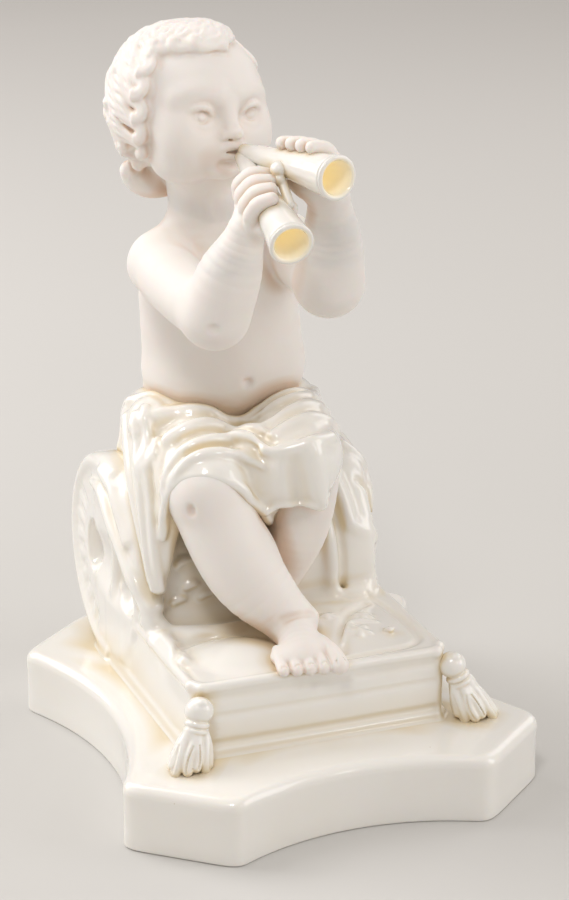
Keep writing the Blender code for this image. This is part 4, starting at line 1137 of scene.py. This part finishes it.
def mattress_clay() -> Clay:
    """The tasselled mattress: its slab, the roll that makes the seat, and the cloth on it."""
    clay = Clay((-51, -51, PLINTH_HEIGHT - 3), (47, 74, SEAT_TOP + 12), 0.48)
    m, s = SLAB, SEAT
    foot = PLINTH_HEIGHT
    clay.add(
        Block((-1.5, -2.25, foot + SLAB_HEIGHT / 2 - 1), (SLAB_WIDTH, 77.5, SLAB_HEIGHT + 2),
              SLAB_EDGE, UPRIGHT, 1),
        Drum(-41.4, 35.4, ROLL_BACK, foot + ROLL_RADIUS, ROLL_RADIUS - 0.2, 3.6, 2),
        Block((-2, (SEAT_FRONT + ROLL_BACK + 12) / 2, foot + 30.5), (76, 33.5, 61), 6.5,
              UPRIGHT, 4),
        m.ball((-21, -24, -6), (16.5, 15, 9.4), blend=2.0),
        m.ball((16, -16, -7), (17, 22, 8.8), blend=3),
    )
    clay.carve(Ball((-45.5, 30, SEAT_TOP - 34), (6.4, 22, 11), UPRIGHT, 2.0))
    clay.add(
        s.limb([(-35, 55, -10, 3.0), (-37.6, 44, -6.2, 4.4), (-36, 32, -5.4, 5.6),
                (-34, 24, -10, 5.6)], blend=3),
        s.limb([(-36.6, 42, -14, 4.0), (-36.6, 33, -12, 5.0), (-36.6, 24, -16, 5.0),
                (-36.6, 16, -22, 4.6), (-36.8, 8, -29, 3.6), (-36.8, 2, -36, 2.6)], blend=3),
        s.limb([(-39, 27, -19, 2.4), (-39, 28, -30, 3.0), (-38.8, 30, -41, 2.4)], blend=2.5),
    )
    scroll = roll_route(range(-94, 106, 6), 1.9, -40.4, 2.0)
    clay.add(Limb(np.array(scroll), 2.0), margin=5)
    for path, blend in seat_folds():
        clay.add(clay.strand(s_route(path), blend=blend, sink=0.5), margin=5)
    clay.carve(
        Ball((-43.6, 47.5, SEAT_TOP - 33.0), (10.0, 5.8, 8.8), rotation((6, 0, 0)), 0.8),
        Ball((-43.0, 17.5, SEAT_TOP - 37.0), (6.6, 8.8, 5.8), rotation((22, 0, 0)), 0.8),
    )
    for angle in range(-70, 50, 15):
        tuft = roll_route([angle], 8.5, -43.4, 1.0)[0]
        clay.carve(Ball(tuft[:3], (1.6, 1.8, 0.5), rotation((angle, 0, 0)), 2.4))
    for path, blend in seat_grooves():
        clay.carve(clay.strand(s_route(path), blend=blend, sink=0.3))
    border(clay)
    relief(clay)
    clay.add(
        Block((-1.5, 10, foot - 2.2), (84, 112, 4), 0.5, UPRIGHT, 3.0),
        margin=3,
    )
    return clay.soften()


def seat_folds() -> Folds:
    """Cloth over the seat: its crown, the fold down the left end, and the fall at the right."""
    folds = [
        ([(-40, 44, -11, 1.4), (-41, 37, -9.5, 2.0), (-41.6, 30, -12, 2.4), (-42, 25, -16, 2.5),
          (-42, 19, -20, 2.4), (-42, 14, -24, 2.4), (-41.6, 8, -29, 2.3), (-41, 3, -34, 2.3),
          (-40.4, 0, -39, 2.4), (-40, -4, -43, 1.8)], 1.6),
        ([(-41.2, 17, -25, 1.0), (-40.6, 20, -31, 1.3), (-40.4, 24, -38, 1.1)], 1.2),
        ([(-40, 34, -4, 1.2), (-41.0, 27, -5, 1.8), (-41.2, 20, -12, 1.8),
          (-41, 13, -19, 1.5)], 2.4),
        ([(-39, 2, -40, 2.2), (-33, -4, -42, 2.6), (-26, -6.6, -42.4, 2.8), (-18, -8, -42.4, 2.6),
          (-10, -4, -43, 1.6)], 2.6),
        ([(-36, 9, -41, 3.4), (-26, 7, -42, 3.8), (-14, 7, -42, 3.6), (-4, 8, -42.4, 2.4)], 4.0),
        ([(-37, -6, -42.4, 1.8), (-37.4, -14, -43, 2.6), (-37.6, -24, -43.6, 2.0)], 3.0),
        ([(34, 38, -6, 2.6), (35.5, 28, -10, 3.0), (35.8, 23, -20, 2.9), (35.4, 19, -32, 2.6),
          (35.2, 18, -42, 2.2)], 2.2),
        ([(31, 26, -6, 2.2), (32.5, 19, -14, 2.6), (32.5, 16, -26, 2.3),
          (32.8, 16, -42, 1.8)], 1.8),
        ([(24, 18, -8, 2.4), (26, 15, -18, 2.6), (27, 14, -30, 2.2), (27, 13.5, -42, 1.6)], 2.0),
        ([(17, 16, -8, 2.2), (19, 14, -20, 2.2), (20, 14, -32, 1.9), (20.5, 13.5, -42, 1.5)], 2.2),
        ([(34, 47, -8, 2.4), (35.8, 40, -20, 2.5), (35.6, 36, -42, 2.0)], 2.6),
        ([(10, 10, -42.4, 1.8), (20, 9, -42.4, 2.4), (30, 9, -42.4, 2.4), (36, 14, -42, 1.8)], 3.0),
    ]
    for x, z in ((-29, -35), (-25, -32), (-20.5, -34.5), (-27, -27), (-22, -26), (-16, -31)):
        bead = [(x - 1.4, 15, z - 0.6, 1.2), (x, 14, z + 0.8, 2.0), (x + 1.6, 15, z, 1.2)]
        folds.append((bead, 1.0))
    return folds


def seat_grooves() -> Folds:
    """Grooves in the mattress: round the pillow in front, and between the hanging folds."""
    return [
        ([(-38.6, -37, -44, 0.8), (-38.6, -27, -43.0, 1.2), (-37.4, -17, -42.4, 1.2),
          (-32, -11.5, -41.4, 1.3), (-25, -10.8, -41, 1.2), (-18, -14, -41.4, 0.9)], 1.6),
        ([(-14, -37.6, -43, 0.5), (0, -37.6, -43.5, 0.8), (18, -37, -43.5, 0.9),
          (32.4, -35.6, -43.5, 1.0), (33.8, -24, -43.5, 1.0), (33.2, -10, -43.5, 1.0),
          (31, 2, -43, 0.7)], 1.3),
        ([(8, -34, -41, 0.5), (12, -22, -40.5, 0.8), (19, -10, -41, 0.8),
          (28, -3, -42.5, 0.6)], 2.2),
        ([(30, 20, -12, 0.6), (30.4, 15.5, -24, 0.9), (30.6, 14.5, -40, 0.7)], 1.8),
        ([(22, 16, -12, 0.6), (23.6, 14.5, -24, 0.9), (24.2, 13.8, -40, 0.7)], 1.8),
    ]


def border(clay: Clay) -> None:
    """The welts along the slab's edges.

    Args:
        clay: The mattress, which gets the welts.
    """
    front = -SLAB_FRONT
    for z, grown, thick, back in ((-1.2, 0.1, 1.5, 10.0), (-SLAB_HEIGHT + 1.5, 0.5, 1.3, 30.0)):
        left, right = -SLAB_WIDTH / 2 - 1.5 - grown * 0.4, SLAB_WIDTH / 2 - 1.5 + grown * 0.4
        y = front + 0.9 - grown
        line = [(left + 0.9, back, z), (left + 0.9, y + 3, z), (left + 3, y, z), (right - 3, y, z),
                (right - 0.9, y + 3, z), (right - 0.9, 14.0, z)]
        for a, b in zip(line, line[1:]):
            clay.add(SLAB.limb([(*a, thick), (*b, thick)], blend=1.0), margin=4)
    for z, depth in ((-4.6, 0.3), (-10.0, 0.2), (-18.4, 0.45)):
        line = [(-36, front, z), (0, front, z - 0.3), (34, front, z)]
        clay.carve(SLAB.limb([(x, y - 0.25, h, depth) for x, y, h in line], blend=1.6))


def relief(clay: Clay) -> None:
    """The small raised flowers on the slab's pillow, laid on the clay.

    Args:
        clay: The mattress, which gets the flowers.
    """
    flowers = [(17, -24, 1.0), (23, -14, 0.85), (12, -11, 0.7), (26, -26, 0.7)]
    for x, y, size in flowers:
        middle = clay.laid(np.array([[x, y, SLAB_TOP + 2.5]]), 0.1)[0]
        clay.add(Ball(tuple(middle), (1.4 * size, 1.4 * size, 0.9), UPRIGHT, 0.6), margin=3)
        for petal in range(5):
            turn = 2 * math.pi * petal / 5 + x
            spot = np.array([[x + math.cos(turn) * 2.7 * size, y + math.sin(turn) * 2.7 * size,
                              SLAB_TOP + 2.5]])
            place = clay.laid(spot, 0.05)[0]
            matrix = rotation((0, 0, math.degrees(turn)))
            clay.add(Ball(tuple(place), (1.8 * size, 1.1 * size, 0.6), matrix, 0.7), margin=3)
    stem = [(9, -30, SLAB_TOP + 2, 0.6), (14, -20, SLAB_TOP + 2, 0.7), (18, -17, SLAB_TOP + 2, 0.7),
            (25, -19, SLAB_TOP + 2, 0.5)]
    clay.add(clay.strand(stem, blend=0.9, sink=0.35), margin=3)


# Tassels


def tassel_clay(knob: Point, foot: Point) -> Clay:
    """A tassel: button, knob, bound neck and a skirt of twisted cords.

    Args:
        knob: Middle of the knob, at the slab's corner.
        foot: Middle of the skirt's end, on the plinth.

    Returns:
        The tassel's clay.
    """
    low = np.minimum(knob, foot) - np.array([11, 9, 4])
    high = np.maximum(knob, foot) + np.array([11, 9, 8])
    clay = Clay(tuple(low), tuple(high), 0.27)
    head, base = Vector(knob), Vector(foot)
    fall = base - head
    clay.add(Ball(tuple(head), (4.1, 4.0, 3.9), UPRIGHT, 1))
    clay.add(Ball(tuple(head + Vector((0.4, -1.6, 3.0))), (1.5, 1.3, 1.1), UPRIGHT, 0.8))
    clay.add(Ball(tuple(head + fall * 0.55), (3.6, 2.8, 6.2), UPRIGHT, 2))
    clay.add(ring(tuple(head + fall * 0.22), tuple(fall), 2.7, 1.0, 0.3))
    clay.add(ring(tuple(head + fall * 0.33), tuple(fall), 2.8, 0.85, 0.3))
    cords = 11
    for number in range(cords):
        turn = 2 * math.pi * (number + 0.5) / cords
        spread = Vector((math.cos(turn), math.sin(turn) * 0.68, 0))
        lean = Vector((-math.sin(turn), math.cos(turn), 0)) * (0.9 if number % 2 else -0.5)
        long = 0.97 - 0.05 * (number % 3)
        path = [(head + fall * 0.3 + spread * 2.2, 1.0),
                (head + fall * 0.5 + spread * 3.8 + lean, 1.5),
                (head + fall * 0.75 + spread * 4.8 - lean * 0.4, 1.7),
                (head + fall * long + spread * 5.4 + lean * 0.5, 1.5)]
        clay.add(Limb(np.array([(*p, r) for p, r in path]), 0.5), margin=3)
        groove = [(*(p + spread * (r + 0.25)), 0.2) for p, r in path[1:]]
        clay.carve(Limb(np.array(groove), 0.5))
    return clay


# Plinth and pipes, made of rings of points


def arc(start: Vector, end: Vector, hollow: float, steps: int) -> list[Vector]:
    """Points from start to end along an arc that sags towards the plinth's middle."""
    half = (end - start) / 2
    middle = (start + end) / 2
    inward = -middle.normalized()
    radius = (half.length**2 + hollow**2) / (2 * hollow)
    centre = middle + inward * (hollow - radius)
    reach = math.asin(half.length / radius)
    along = half.normalized()
    turns = [-reach + 2 * reach * i / steps for i in range(steps + 1)]
    return [centre + (along * math.sin(a) + inward * math.cos(a)) * radius for a in turns]


def plinth_outline(inset: float) -> np.ndarray:
    """The plinth's outline with its canted corners, each bend rounded, in even steps.

    Args:
        inset: How far the outline lies inside the plinth's widest one.

    Returns:
        Points as rows of (x, y), counterclockwise.
    """
    x, y = (half - inset for half in PLINTH_HALF)
    near_x, near_y = (start - inset * 0.5 for start in CANT_START)
    sides = [
        (Vector((-near_x, -y)), Vector((near_x, -y)), END_SAG),
        (Vector((x, -near_y)), Vector((x, near_y)), SIDE_SAG),
        (Vector((near_x, y)), Vector((-near_x, y)), END_SAG),
        (Vector((-x, near_y)), Vector((-x, -near_y)), SIDE_SAG),
    ]
    pieces = []
    for start, end, hollow in sides:
        curve = np.array([tuple(point) for point in arc(start, end, hollow, steps=150)])
        pieces.append(curve)
    made = []
    for number, curve in enumerate(pieces):
        following = pieces[(number + 1) % 4][0]
        share = np.linspace(0, 1, 41)[1:-1, None]
        made += [curve, curve[-1] * (1 - share) + following * share]
    line = np.concatenate(made)
    for _ in range(CORNER_ROUNDS):
        line = (np.roll(line, 1, axis=0) + 2 * line + np.roll(line, -1, axis=0)) / 4
    return line


def swept(rings: list[np.ndarray]) -> tuple[np.ndarray, np.ndarray]:
    """Quads between rings of points, from each ring to the next.

    Args:
        rings: Closed rings of equal length, counterclockwise.

    Returns:
        Vertices and quads.
    """
    count = len(rings[0])
    here = np.arange(count)
    there = (here + 1) % count
    quads = [
        np.stack([here + r * count, there + r * count, there + (r + 1) * count,
                  here + (r + 1) * count], axis=1)
        for r in range(len(rings) - 1)
    ]
    return np.concatenate(rings), np.concatenate(quads)


def plinth_mesh() -> tuple[np.ndarray, np.ndarray]:
    """The plinth, its rounded rim, and the shallow recess under it."""
    height, edge, low, recess = PLINTH_HEIGHT, PLINTH_EDGE, FOOT_EDGE, RECESS_DEPTH
    quarter = np.radians(np.linspace(0, 90, 8))
    profile = [(7.4, recess), (7.0, 1.2), (6.8, 0.3), (6.3, 0.0), (low + 0.4, 0.0), (low, 0.0)]
    profile += [(low * (1 - math.sin(a)), low * (1 - math.cos(a))) for a in quarter[1:]]
    profile += [(0.12, 5.0), (0.2, 9.0), (0.12, 13.0), (0.0, height - edge - 0.3)]
    profile += [(edge * (1 - math.cos(a)), height - edge * (1 - math.sin(a))) for a in quarter]
    profile += [(edge + 0.5, height), (edge + 2.0, height)]
    rings = [
        np.column_stack([outline, np.full(len(outline), level)])
        for outline, level in ((plinth_outline(inset), level) for inset, level in profile)
    ]
    smaller = [np.array([share, share, 1.0]) for share in (0.8, 0.55, 0.25, 0.004)]
    below = [rings[0] * share for share in reversed(smaller)]
    above = [rings[-1] * share for share in smaller]
    return swept(below + rings + above)


def pipe_mesh(pipe: Pipe) -> tuple[np.ndarray, np.ndarray]:
    """A pipe with its rolled lip and the bore that runs back from the bell."""
    length = pipe.length()
    profile = [(0.02, -0.4), (PIPE_TIP_RADIUS * 0.7, -0.3), (PIPE_TIP_RADIUS, 0.3)]
    stations = np.linspace(1, length - 1.2, 34)
    wobble = 0.035 * np.sin(stations * 0.9) + 0.02 * np.sin(stations * 2.3)
    profile += [(pipe.radius(s) + w, s) for s, w in zip(stations, wobble)]
    rim = (BELL_RADIUS + BORE_RADIUS) / 2
    half = (BELL_RADIUS - BORE_RADIUS) / 2
    turns = np.radians(np.linspace(-60, 180, 11))
    lip = length - 0.6
    profile += [(rim + math.cos(a) * (half + 0.1), lip + math.sin(a) * 0.65) for a in turns]
    for share in np.linspace(0.05, 1, 12):
        profile.append((BORE_RADIUS * (1 - 0.55 * share), length - BORE_DEPTH * share))
    profile.append((0.02, length - BORE_DEPTH - 0.6))
    along, left, up = (np.array(way) for way in pipe.frame())
    angles = np.linspace(0, 2 * np.pi, 73)[:-1]
    wheel = np.cos(angles)[:, None] * left + np.sin(angles)[:, None] * up
    tip = np.array(pipe.tip)
    return swept([tip + along * s + wheel * r for r, s in profile])


def clasp_clay() -> Clay:
    """The small clasp, bead and strap that hold the pipes together."""
    near = UPPER.beside(24, 190, 1)
    clay = Clay(tuple(np.array(near) - (9, 16, 20)), tuple(np.array(near) + (9, 8, 9)), 0.25)
    clay.add(Ball(UPPER.beside(23.5, 190, 0.4), (2.2, 2.8, 2.4), UPRIGHT, 0.8))
    clay.add(Ball(UPPER.beside(25, 214, 1.8), (1.7, 1.7, 1.7), UPRIGHT, 0.3))
    upper_end, lower_end = UPPER.beside(24.5, 225, 1.4), LOWER.beside(33, 40, 0.2)
    clay.add(Limb(np.array([(*upper_end, 1.4), (*lower_end, 1.3)]), 0.6))
    return clay


# Materials


class Nodes:
    """Builds one material's node tree."""

    def __init__(self, name: str) -> None:
        """Makes the material with its shader.

        Args:
            name: Of the material.
        """
        self.material = bpy.data.materials.new(name)
        self.material.use_nodes = True
        self.tree = self.material.node_tree
        self.shader = self.tree.nodes["Principled BSDF"]

    def add(self, kind: str, **values):
        """A node with its properties and unlinked sockets set by name."""
        node = self.tree.nodes.new(kind)
        for name, value in values.items():
            if name in node.bl_rna.properties:
                setattr(node, name, value)
            else:
                node.inputs[name.replace("_", " ")].default_value = value
        return node

    def link(self, start, end) -> None:
        """Links two sockets."""
        self.tree.links.new(start, end)

    def set(self, values: dict[str, float | Point | Colour]) -> None:
        """Sets the shader's own sockets by name."""
        for name, value in values.items():
            self.shader.inputs[name].default_value = value

    def attribute(self, name: str):
        """What is written on the vertices under a name."""
        return self.add("ShaderNodeAttribute", attribute_name=name).outputs["Fac"]

    def in_metres(self, kind: str, **values):
        """A node that takes the object's own metres as its vector."""
        where = self.add("ShaderNodeTexCoord")
        node = self.add(kind, **values)
        self.link(where.outputs["Object"], node.inputs["Vector"])
        return node

    def noise(self, scale: float, detail: float):
        """Noise over the object."""
        return self.in_metres("ShaderNodeTexNoise", Scale=scale, Detail=detail).outputs["Fac"]

    def product(self, first, second):
        """Two values multiplied, each a socket or a number."""
        node = self.add("ShaderNodeMath", operation="MULTIPLY")
        for socket, value in zip(node.inputs, (first, second)):
            if isinstance(value, float):
                socket.default_value = value
            else:
                self.link(value, socket)
        return node.outputs["Value"]

    def curve(self, source, low: float, high: float, start: float = 0.0, end: float = 1.0):
        """A value spread from one range to another, held at its ends."""
        node = self.add("ShaderNodeMapRange")
        ends = {"From Min": low, "From Max": high, "To Min": start, "To Max": end}
        for name, value in ends.items():
            node.inputs[name].default_value = value
        self.link(source, node.inputs["Value"])
        return node.outputs["Result"]

    def blend(self, share, first, second):
        """A colour between two, which are values or sockets."""
        node = self.add("ShaderNodeMix", data_type="RGBA")
        self.link(share, node.inputs["Factor"])
        for socket, colour in ((node.inputs["A"], first), (node.inputs["B"], second)):
            if isinstance(colour, tuple):
                socket.default_value = colour
            else:
                self.link(colour, socket)
        return node.outputs["Result"]

    def bump(self, layers) -> None:
        """Bumps on the shader, as (height socket, strength, depth in metres)."""
        below = None
        for height, strength, depth in layers:
            node = self.add("ShaderNodeBump", Strength=strength, Distance=depth)
            self.link(height, node.inputs["Height"])
            if below:
                self.link(below.outputs["Normal"], node.inputs["Normal"])
            below = node
        self.link(below.outputs["Normal"], self.shader.inputs["Normal"])


def bisque() -> bpy.types.Material:
    """Unglazed parian: matt, faintly rosy, with painted shade that makes it darker and warmer in
    its hollows.
    """
    nodes = Nodes("bisque")
    # Painted shade: the hollow measure blends in a darker, browner colour where nearby clay would
    # shade the skin
    share = nodes.curve(nodes.attribute("hollow"), 0.1, 0.95)
    patch = nodes.curve(nodes.noise(55, 2), 0.35, 0.7)
    rosy, pale, painted_shade_colour = (0.87, 0.825, 0.785, 1), (0.895, 0.855, 0.815, 1), (0.76, 0.62, 0.51, 1)
    colour = nodes.blend(share, nodes.blend(patch, rosy, pale), painted_shade_colour)
    nodes.link(colour, nodes.shader.inputs["Base Color"])
    nodes.set({
        "Roughness": 0.52,
        "Specular IOR Level": 0.42,
        "Subsurface Weight": 0.28,
        "Subsurface Radius": (1.0, 0.55, 0.35),
        "Subsurface Scale": 0.0022,
    })
    grain, tooled = nodes.noise(2600, 2), nodes.noise(240, 3)
    nodes.bump([(tooled, 0.25, 0.0002), (grain, 0.12, 0.00006)])
    return nodes.material


def glaze() -> bpy.types.Material:
    """Clear gloss glaze over ivory porcelain: creamier in its hollows, where glaze pools and where
    shade is painted, and yellow in the bores, with a painted glow.
    """
    nodes = Nodes("glaze")
    # The hollow colour is partly glaze pooling in recesses and partly painted shade under and
    # between parts
    share = nodes.curve(nodes.attribute("hollow"), 0.08, 0.9)
    patch = nodes.curve(nodes.noise(38, 3), 0.3, 0.72)
    ivory, white, pooled_glaze_and_shade = (0.885, 0.86, 0.805, 1), (0.90, 0.885, 0.845, 1), (0.79, 0.68, 0.48, 1)
    colour = nodes.blend(share, nodes.blend(patch, ivory, white), pooled_glaze_and_shade)
    specks = nodes.in_metres("ShaderNodeTexVoronoi", Scale=210.0, feature="F1")
    dot = nodes.curve(specks.outputs["Distance"], 0.03, 0.055, 0.55, 0.0)
    some = nodes.curve(nodes.noise(70, 0), 0.66, 0.7)
    colour = nodes.blend(nodes.product(dot, some), colour, (0.45, 0.33, 0.2, 1))
    # In the bores the colour turns yellow: partly glaze pooling there, partly painted bounce light
    bore = nodes.attribute("bore")
    colour = nodes.blend(bore, colour, (0.93, 0.84, 0.58, 1))
    nodes.link(colour, nodes.shader.inputs["Base Color"])
    # Painted glow: the bores give off light of their own, though they are no lamp
    painted_bore_glow = nodes.product(bore, 0.2)
    nodes.link(painted_bore_glow, nodes.shader.inputs["Emission Strength"])
    nodes.set({
        # The colour of the painted glow in the bores
        "Emission Color": (1.0, 0.82, 0.5, 1),
        "Roughness": 0.36,
        "Specular IOR Level": 0.5,
        "Coat Weight": 1.0,
        "Coat Roughness": 0.05,
        "Coat IOR": 1.5,
        "Subsurface Weight": 0.12,
        "Subsurface Radius": (1.0, 0.7, 0.4),
        "Subsurface Scale": 0.0015,
    })
    ripple, peel = nodes.noise(90, 2), nodes.noise(420, 2)
    nodes.bump([(ripple, 0.3, 0.0006), (peel, 0.1, 0.0001)])
    return nodes.material


def ground() -> bpy.types.Material:
    """Plain pale paper, with painted light that makes it lighter towards the back."""
    nodes = Nodes("ground")
    colour = nodes.blend(nodes.noise(3, 2), (0.60, 0.59, 0.565, 1), (0.63, 0.62, 0.60, 1))
    # Painted light: the colour grows lighter towards the back
    far = nodes.curve(nodes.in_metres("ShaderNodeSeparateXYZ").outputs["Y"], 0.15, 1.1)
    colour = nodes.blend(far, colour, (0.77, 0.755, 0.73, 1))
    nodes.link(colour, nodes.shader.inputs["Base Color"])
    nodes.set({"Roughness": 0.75, "Specular IOR Level": 0.2})
    return nodes.material


# Pieces


@dataclass
class Piece:
    """One visible piece of the figurine, with its finish and its share of the triangles."""

    name: str
    finish: Finish
    budget: int
    clay: Clay | None = None
    mesh: tuple[np.ndarray, np.ndarray] | None = None

    def build(self, materials: dict[Finish, bpy.types.Material]) -> bpy.types.Object:
        """Makes the object, thins it to its budget and hangs it on the frame's body.

        Args:
            materials: One for each finish.

        Returns:
            The new object.
        """
        points, quads = surface_net(self.clay) if self.clay else self.mesh
        data = new_mesh(self.name, points, quads)
        piece = bpy.data.objects.new(self.name, data)
        bpy.context.scene.collection.objects.link(piece)
        triangles = 2 * len(quads)
        if triangles > self.budget:
            thin = piece.modifiers.new("thin", "DECIMATE")
            thin.ratio = self.budget / triangles
            graph = bpy.context.evaluated_depsgraph_get()
            thinned = bpy.data.meshes.new_from_object(piece.evaluated_get(graph))
            piece.modifiers.clear()
            piece.data = thinned
            bpy.data.meshes.remove(data)
        piece.data.shade_smooth()
        piece.data.materials.clear()
        piece.data.materials.append(materials[self.finish])
        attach(piece, "root")
        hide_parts("figurine")
        LOG.info("%s: %d quads, %d faces kept", self.name, len(quads), len(piece.data.polygons))
        return piece


def new_mesh(name: str, points: np.ndarray, quads: np.ndarray) -> bpy.types.Mesh:
    """A mesh in metres from points in millimetres and quads."""
    data = bpy.data.meshes.new(name)
    data.vertices.add(len(points))
    data.vertices.foreach_set("co", (points * MM).astype(np.float32).ravel())
    data.loops.add(quads.size)
    data.loops.foreach_set("vertex_index", quads.astype(np.int32).ravel())
    data.polygons.add(len(quads))
    data.polygons.foreach_set("loop_start", np.arange(0, quads.size, 4, dtype=np.int32))
    data.update(calc_edges=True)
    return data


def mark_hollows(pieces: list[tuple[Piece, bpy.types.Object]]) -> None:
    """Writes on every vertex how hollow the whole figurine is there, which the materials use for
    painted shade and glaze pooling.

    A point held a little over an open skin is as far from the clay as it was lifted. In a hollow
    it is nearer to some other part. What is missing, at three lifts, is the measure.

    Args:
        pieces: Every piece with its object.
    """
    clays = [piece.clay for piece, _ in pieces if piece.clay]
    for piece, thing in pieces:
        data = thing.data
        points = vectors(data.vertices, "co") / MM
        ways = vectors(data.vertex_normals, "vector")
        total = np.zeros(len(points))
        for lift, weight in HOLLOW_LIFTS:
            spots = points + ways * lift
            least = np.maximum(spots[:, 2] - PLINTH_HEIGHT, 0)
            least[piece.name == "plinth" or points[:, 2] < PLINTH_HEIGHT] = lift
            for clay in clays:
                inside = np.all((spots > clay.low + 1) & (spots < clay.top() - 1), axis=1)
                near = clay.value(spots[inside]) * lift / min(lift, KNOWN_REACH)
                least[inside] = np.minimum(least[inside], near)
            total += weight * (1 - np.clip(least / lift, 0, 1))
        bore = bore_depth(points) if "pipe" in piece.name else np.zeros(len(points))
        for name, values in (("hollow", total), ("bore", bore)):
            layer = data.attributes.new(name, "FLOAT", "POINT")
            layer.data.foreach_set("value", values.astype(np.float32))


def vectors(owners, name: str) -> np.ndarray:
    """One vector of each owner, as rows."""
    values = np.empty(len(owners) * 3, np.float32)
    owners.foreach_get(name, values)
    return values.reshape(-1, 3)


def bore_depth(points: np.ndarray) -> np.ndarray:
    """How deep points lie in a bore: 0 outside it, and from 0.35 at the lip to 1 half way in."""
    lip, wall = 0.35, 0.75
    depth = np.zeros(len(points))
    for pipe in (UPPER, LOWER):
        along = np.array(pipe.frame()[0])
        reach = points - np.array(pipe.tip)
        at = reach @ along
        radius = np.linalg.norm(reach - at[:, None] * along, axis=1)
        inside = (radius < pipe.radius(at) - wall) & (at > pipe.length() - BORE_DEPTH - 1)
        share = np.clip((pipe.length() - at) / (BORE_DEPTH * 0.5), 0, 1)
        depth = np.maximum(depth, np.where(inside, lip + (1 - lip) * share, 0))
    return depth


# Stage


@dataclass(frozen=True)
class SoftBox:
    """A soft rectangular light: its place and size in metres, and its power in watts."""

    name: str
    place: Point
    size: tuple[float, float]
    power: float

    def hang(self) -> None:
        """Adds the light, turned to the figurine."""
        data = bpy.data.lights.new(self.name, "AREA")
        data.shape = "RECTANGLE"
        data.size, data.size_y = self.size
        data.energy = self.power
        data.color = LIGHT_COLOUR
        lamp = bpy.data.objects.new(self.name, data)
        lamp.location = self.place
        way = Vector(LIGHT_TARGET) - Vector(self.place)
        lamp.rotation_euler = way.to_track_quat("-Z", "Y").to_euler()
        bpy.context.scene.collection.objects.link(lamp)


SOFT_BOXES = (
    SoftBox("left_box", (-1.0, 0.16, 0.55), (0.8, 0.9), 1.4),
    SoftBox("back_left_box", (-0.8, 0.7, 0.6), (0.7, 0.7), 4.6),
    SoftBox("high_back_box", (-0.5, 0.6, 1.1), (0.8, 0.8), 5.4),
    SoftBox("right_box", (0.9, -0.5, 0.5), (0.55, 0.8), 3.3),
    SoftBox("right_back_box", (0.95, 0.4, 0.6), (0.5, 0.8), 1.6),
    SoftBox("window", (-0.42, -0.62, 1.15), (0.22, 0.34), 4.0),
    SoftBox("small_window", (0.5, -1.0, 0.75), (0.16, 0.3), 0.7),
)


def add_floor() -> None:
    """Adds a plain square of paper that the figurine stands on."""
    data = bpy.data.meshes.new("floor")
    ways = ((-1, -1), (1, -1), (1, 1), (-1, 1))
    corners = [(x * FLOOR_REACH, y * FLOOR_REACH, 0) for x, y in ways]
    data.from_pydata(corners, [], [(0, 1, 2, 3)])
    data.materials.append(ground())
    floor = bpy.data.objects.new("floor", data)
    bpy.context.scene.collection.objects.link(floor)


def add_surroundings() -> None:
    """Adds the pale light that comes from all sides."""
    world = bpy.data.worlds.new("surroundings")
    world.use_nodes = True
    sky = world.node_tree.nodes["Background"]
    sky.inputs["Color"].default_value = SKY_COLOUR
    sky.inputs["Strength"].default_value = SKY_STRENGTH
    bpy.context.scene.world = world
    bpy.context.scene.view_settings.view_transform = "Standard"


def add_camera() -> None:
    """Adds the camera at the photograph's angle."""
    lens = bpy.data.cameras.new("camera")
    lens.lens = LENS_LENGTH
    lens.sensor_width = SENSOR_WIDTH
    lens.shift_x, lens.shift_y = LENS_SHIFT
    camera = bpy.data.objects.new("camera", lens)
    right, back = Vector(CAMERA_RIGHT), Vector(CAMERA_BACK)
    turn = Matrix((right, back.cross(right), back)).transposed()
    camera.matrix_world = Matrix.Translation(CAMERA_PLACE) @ turn.to_4x4()
    bpy.context.scene.collection.objects.link(camera)
    bpy.context.scene.camera = camera


def studio() -> None:
    """Floor, soft boxes, pale surroundings, and the camera at the photograph's angle."""
    add_floor()
    for box in SOFT_BOXES:
        box.hang()
    add_surroundings()
    add_camera()


def all_pieces() -> list[Piece]:
    """Every piece of the figurine."""
    half, front, foot = SLAB_WIDTH / 2, -SLAB_FRONT, PLINTH_HEIGHT
    left = tassel_clay((-half - 0.5, front - 2.5, foot + 16), (-half - 5, front - 6, foot))
    right = tassel_clay((half + 0.5, front + 0.5, foot + 16), (half + 7.5, front - 3, foot))
    return [
        Piece("head", Finish.BISQUE, 185000, head_clay()),
        Piece("body", Finish.BISQUE, 95000, body_clay()),
        Piece("hands", Finish.BISQUE, 100000, hands_clay()),
        Piece("right_leg", Finish.BISQUE, 80000, leg_clay()),
        Piece("left_leg", Finish.BISQUE, 14000, far_leg_clay()),
        Piece("lap_cloth", Finish.GLAZE, 130000, lap_clay()),
        Piece("mattress", Finish.GLAZE, 180000, mattress_clay()),
        Piece("left_tassel", Finish.GLAZE, 32000, left),
        Piece("right_tassel", Finish.GLAZE, 32000, right),
        Piece("clasp", Finish.GLAZE, 12000, clasp_clay()),
        Piece("plinth", Finish.GLAZE, 90000, mesh=plinth_mesh()),
        Piece("upper_pipe", Finish.GLAZE, 20000, mesh=pipe_mesh(UPPER)),
        Piece("lower_pipe", Finish.GLAZE, 20000, mesh=pipe_mesh(LOWER)),
    ]


def main() -> None:
    """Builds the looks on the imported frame."""
    logging.basicConfig(level=logging.INFO, format="%(name)s %(message)s")
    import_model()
    materials = {Finish.BISQUE: bisque(), Finish.GLAZE: glaze()}
    made = [(piece, piece.build(materials)) for piece in all_pieces()]
    mark_hollows(made)
    studio()


if __name__ == "__main__":
    main()
